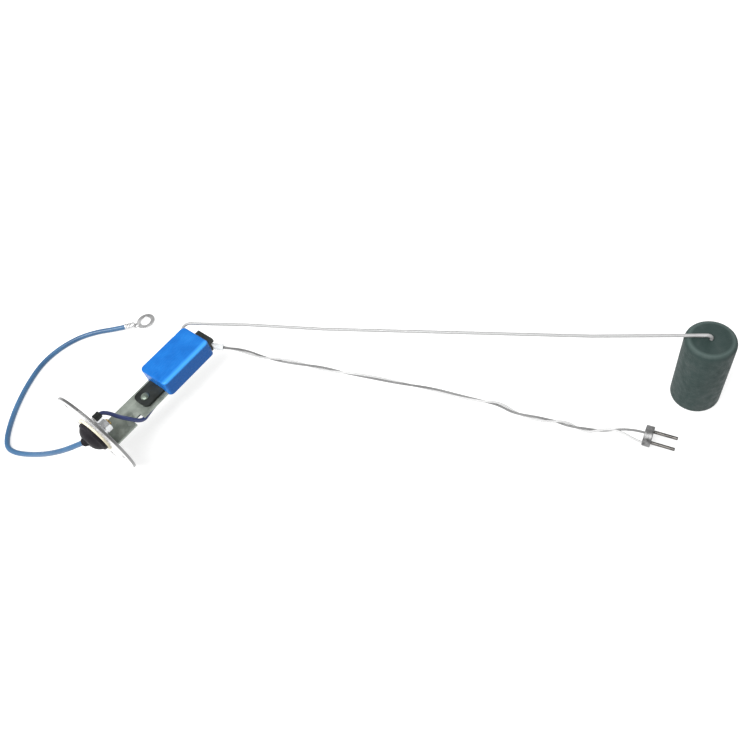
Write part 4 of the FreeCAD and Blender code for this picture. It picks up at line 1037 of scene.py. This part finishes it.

# %% [markdown]
# The lead carries its ring terminal, and both strands of the pair end in the probe.

print("the lead and the pair are in place")

# %% [markdown]
# Such a picture is taken on a white sheet with so much light that the sheet burns out. Lamps alone would
# have to be so strong that the blue turned pale, so the bench glows softly by itself, like a light table,
# and the shadows on it stay faint.

# %% Bench
BENCH_HALF = 6.0
BENCH_GLOW = 0.7


def make_bench():
    """Square sheet at the height of the flange's lowest point."""
    mesh = bpy.data.meshes.new("bench")
    half = BENCH_HALF
    corners = [(-half, -half, bench), (half, -half, bench), (half, half, bench), (-half, half, bench)]
    mesh.from_pydata(corners, [], [(0, 1, 2, 3)])
    top = bpy.data.objects.new("bench", mesh)
    bpy.context.scene.collection.objects.link(top)
    material, tree, shader = new_finish("bench_white", 0.9, Emission_Color=(1, 1, 1, 1),
                                        Emission_Strength=BENCH_GLOW)
    cloud = noise(tree, place_on(tree), 0.4, 2)
    tones(tree, shader, cloud, (0.3, grey(0.42)), (0.7, grey(0.44)))
    mesh.materials.append(material)
    return top


make_bench()
print("bench", 2 * BENCH_HALF, "m wide")

# %% [markdown]
# One large panel high on the camera's left runs a gleam along the cover's edge, and a weaker one far to
# the right opens the shaded sides. The surround is only half bright: bright metal mirrors it, so its
# edges turn darker and stand out against the white bench. The picture uses plain display colours, so
# white stays white and the blue stays strong.

# %% Light
LIT_MIDDLE = Vector((0.1, -0.1, 0))
SURROUND_STRENGTH = 0.5


def panel(name, place, size, power):
    """A square soft light that faces the middle of the object."""
    data = bpy.data.lights.new(name, "AREA")
    data.shape = "SQUARE"
    data.size = size
    data.energy = power
    light = bpy.data.objects.new(name, data)
    light.location = place
    light.rotation_euler = (LIT_MIDDLE - Vector(place)).to_track_quat("-Z", "Y").to_euler()
    bpy.context.scene.collection.objects.link(light)
    return light


panel("key", (-0.75, 0.1, 1.4), 1.3, 42)
panel("fill", (1.5, -0.1, 0.9), 1.0, 5)
surround = bpy.data.worlds.new("surround")
surround.use_nodes = True
surround.node_tree.nodes["Background"].inputs["Color"].default_value = (1, 1, 1, 1)
surround.node_tree.nodes["Background"].inputs["Strength"].default_value = SURROUND_STRENGTH
bpy.context.scene.world = surround
bpy.context.scene.view_settings.view_transform = "Standard"
print("lights are in")
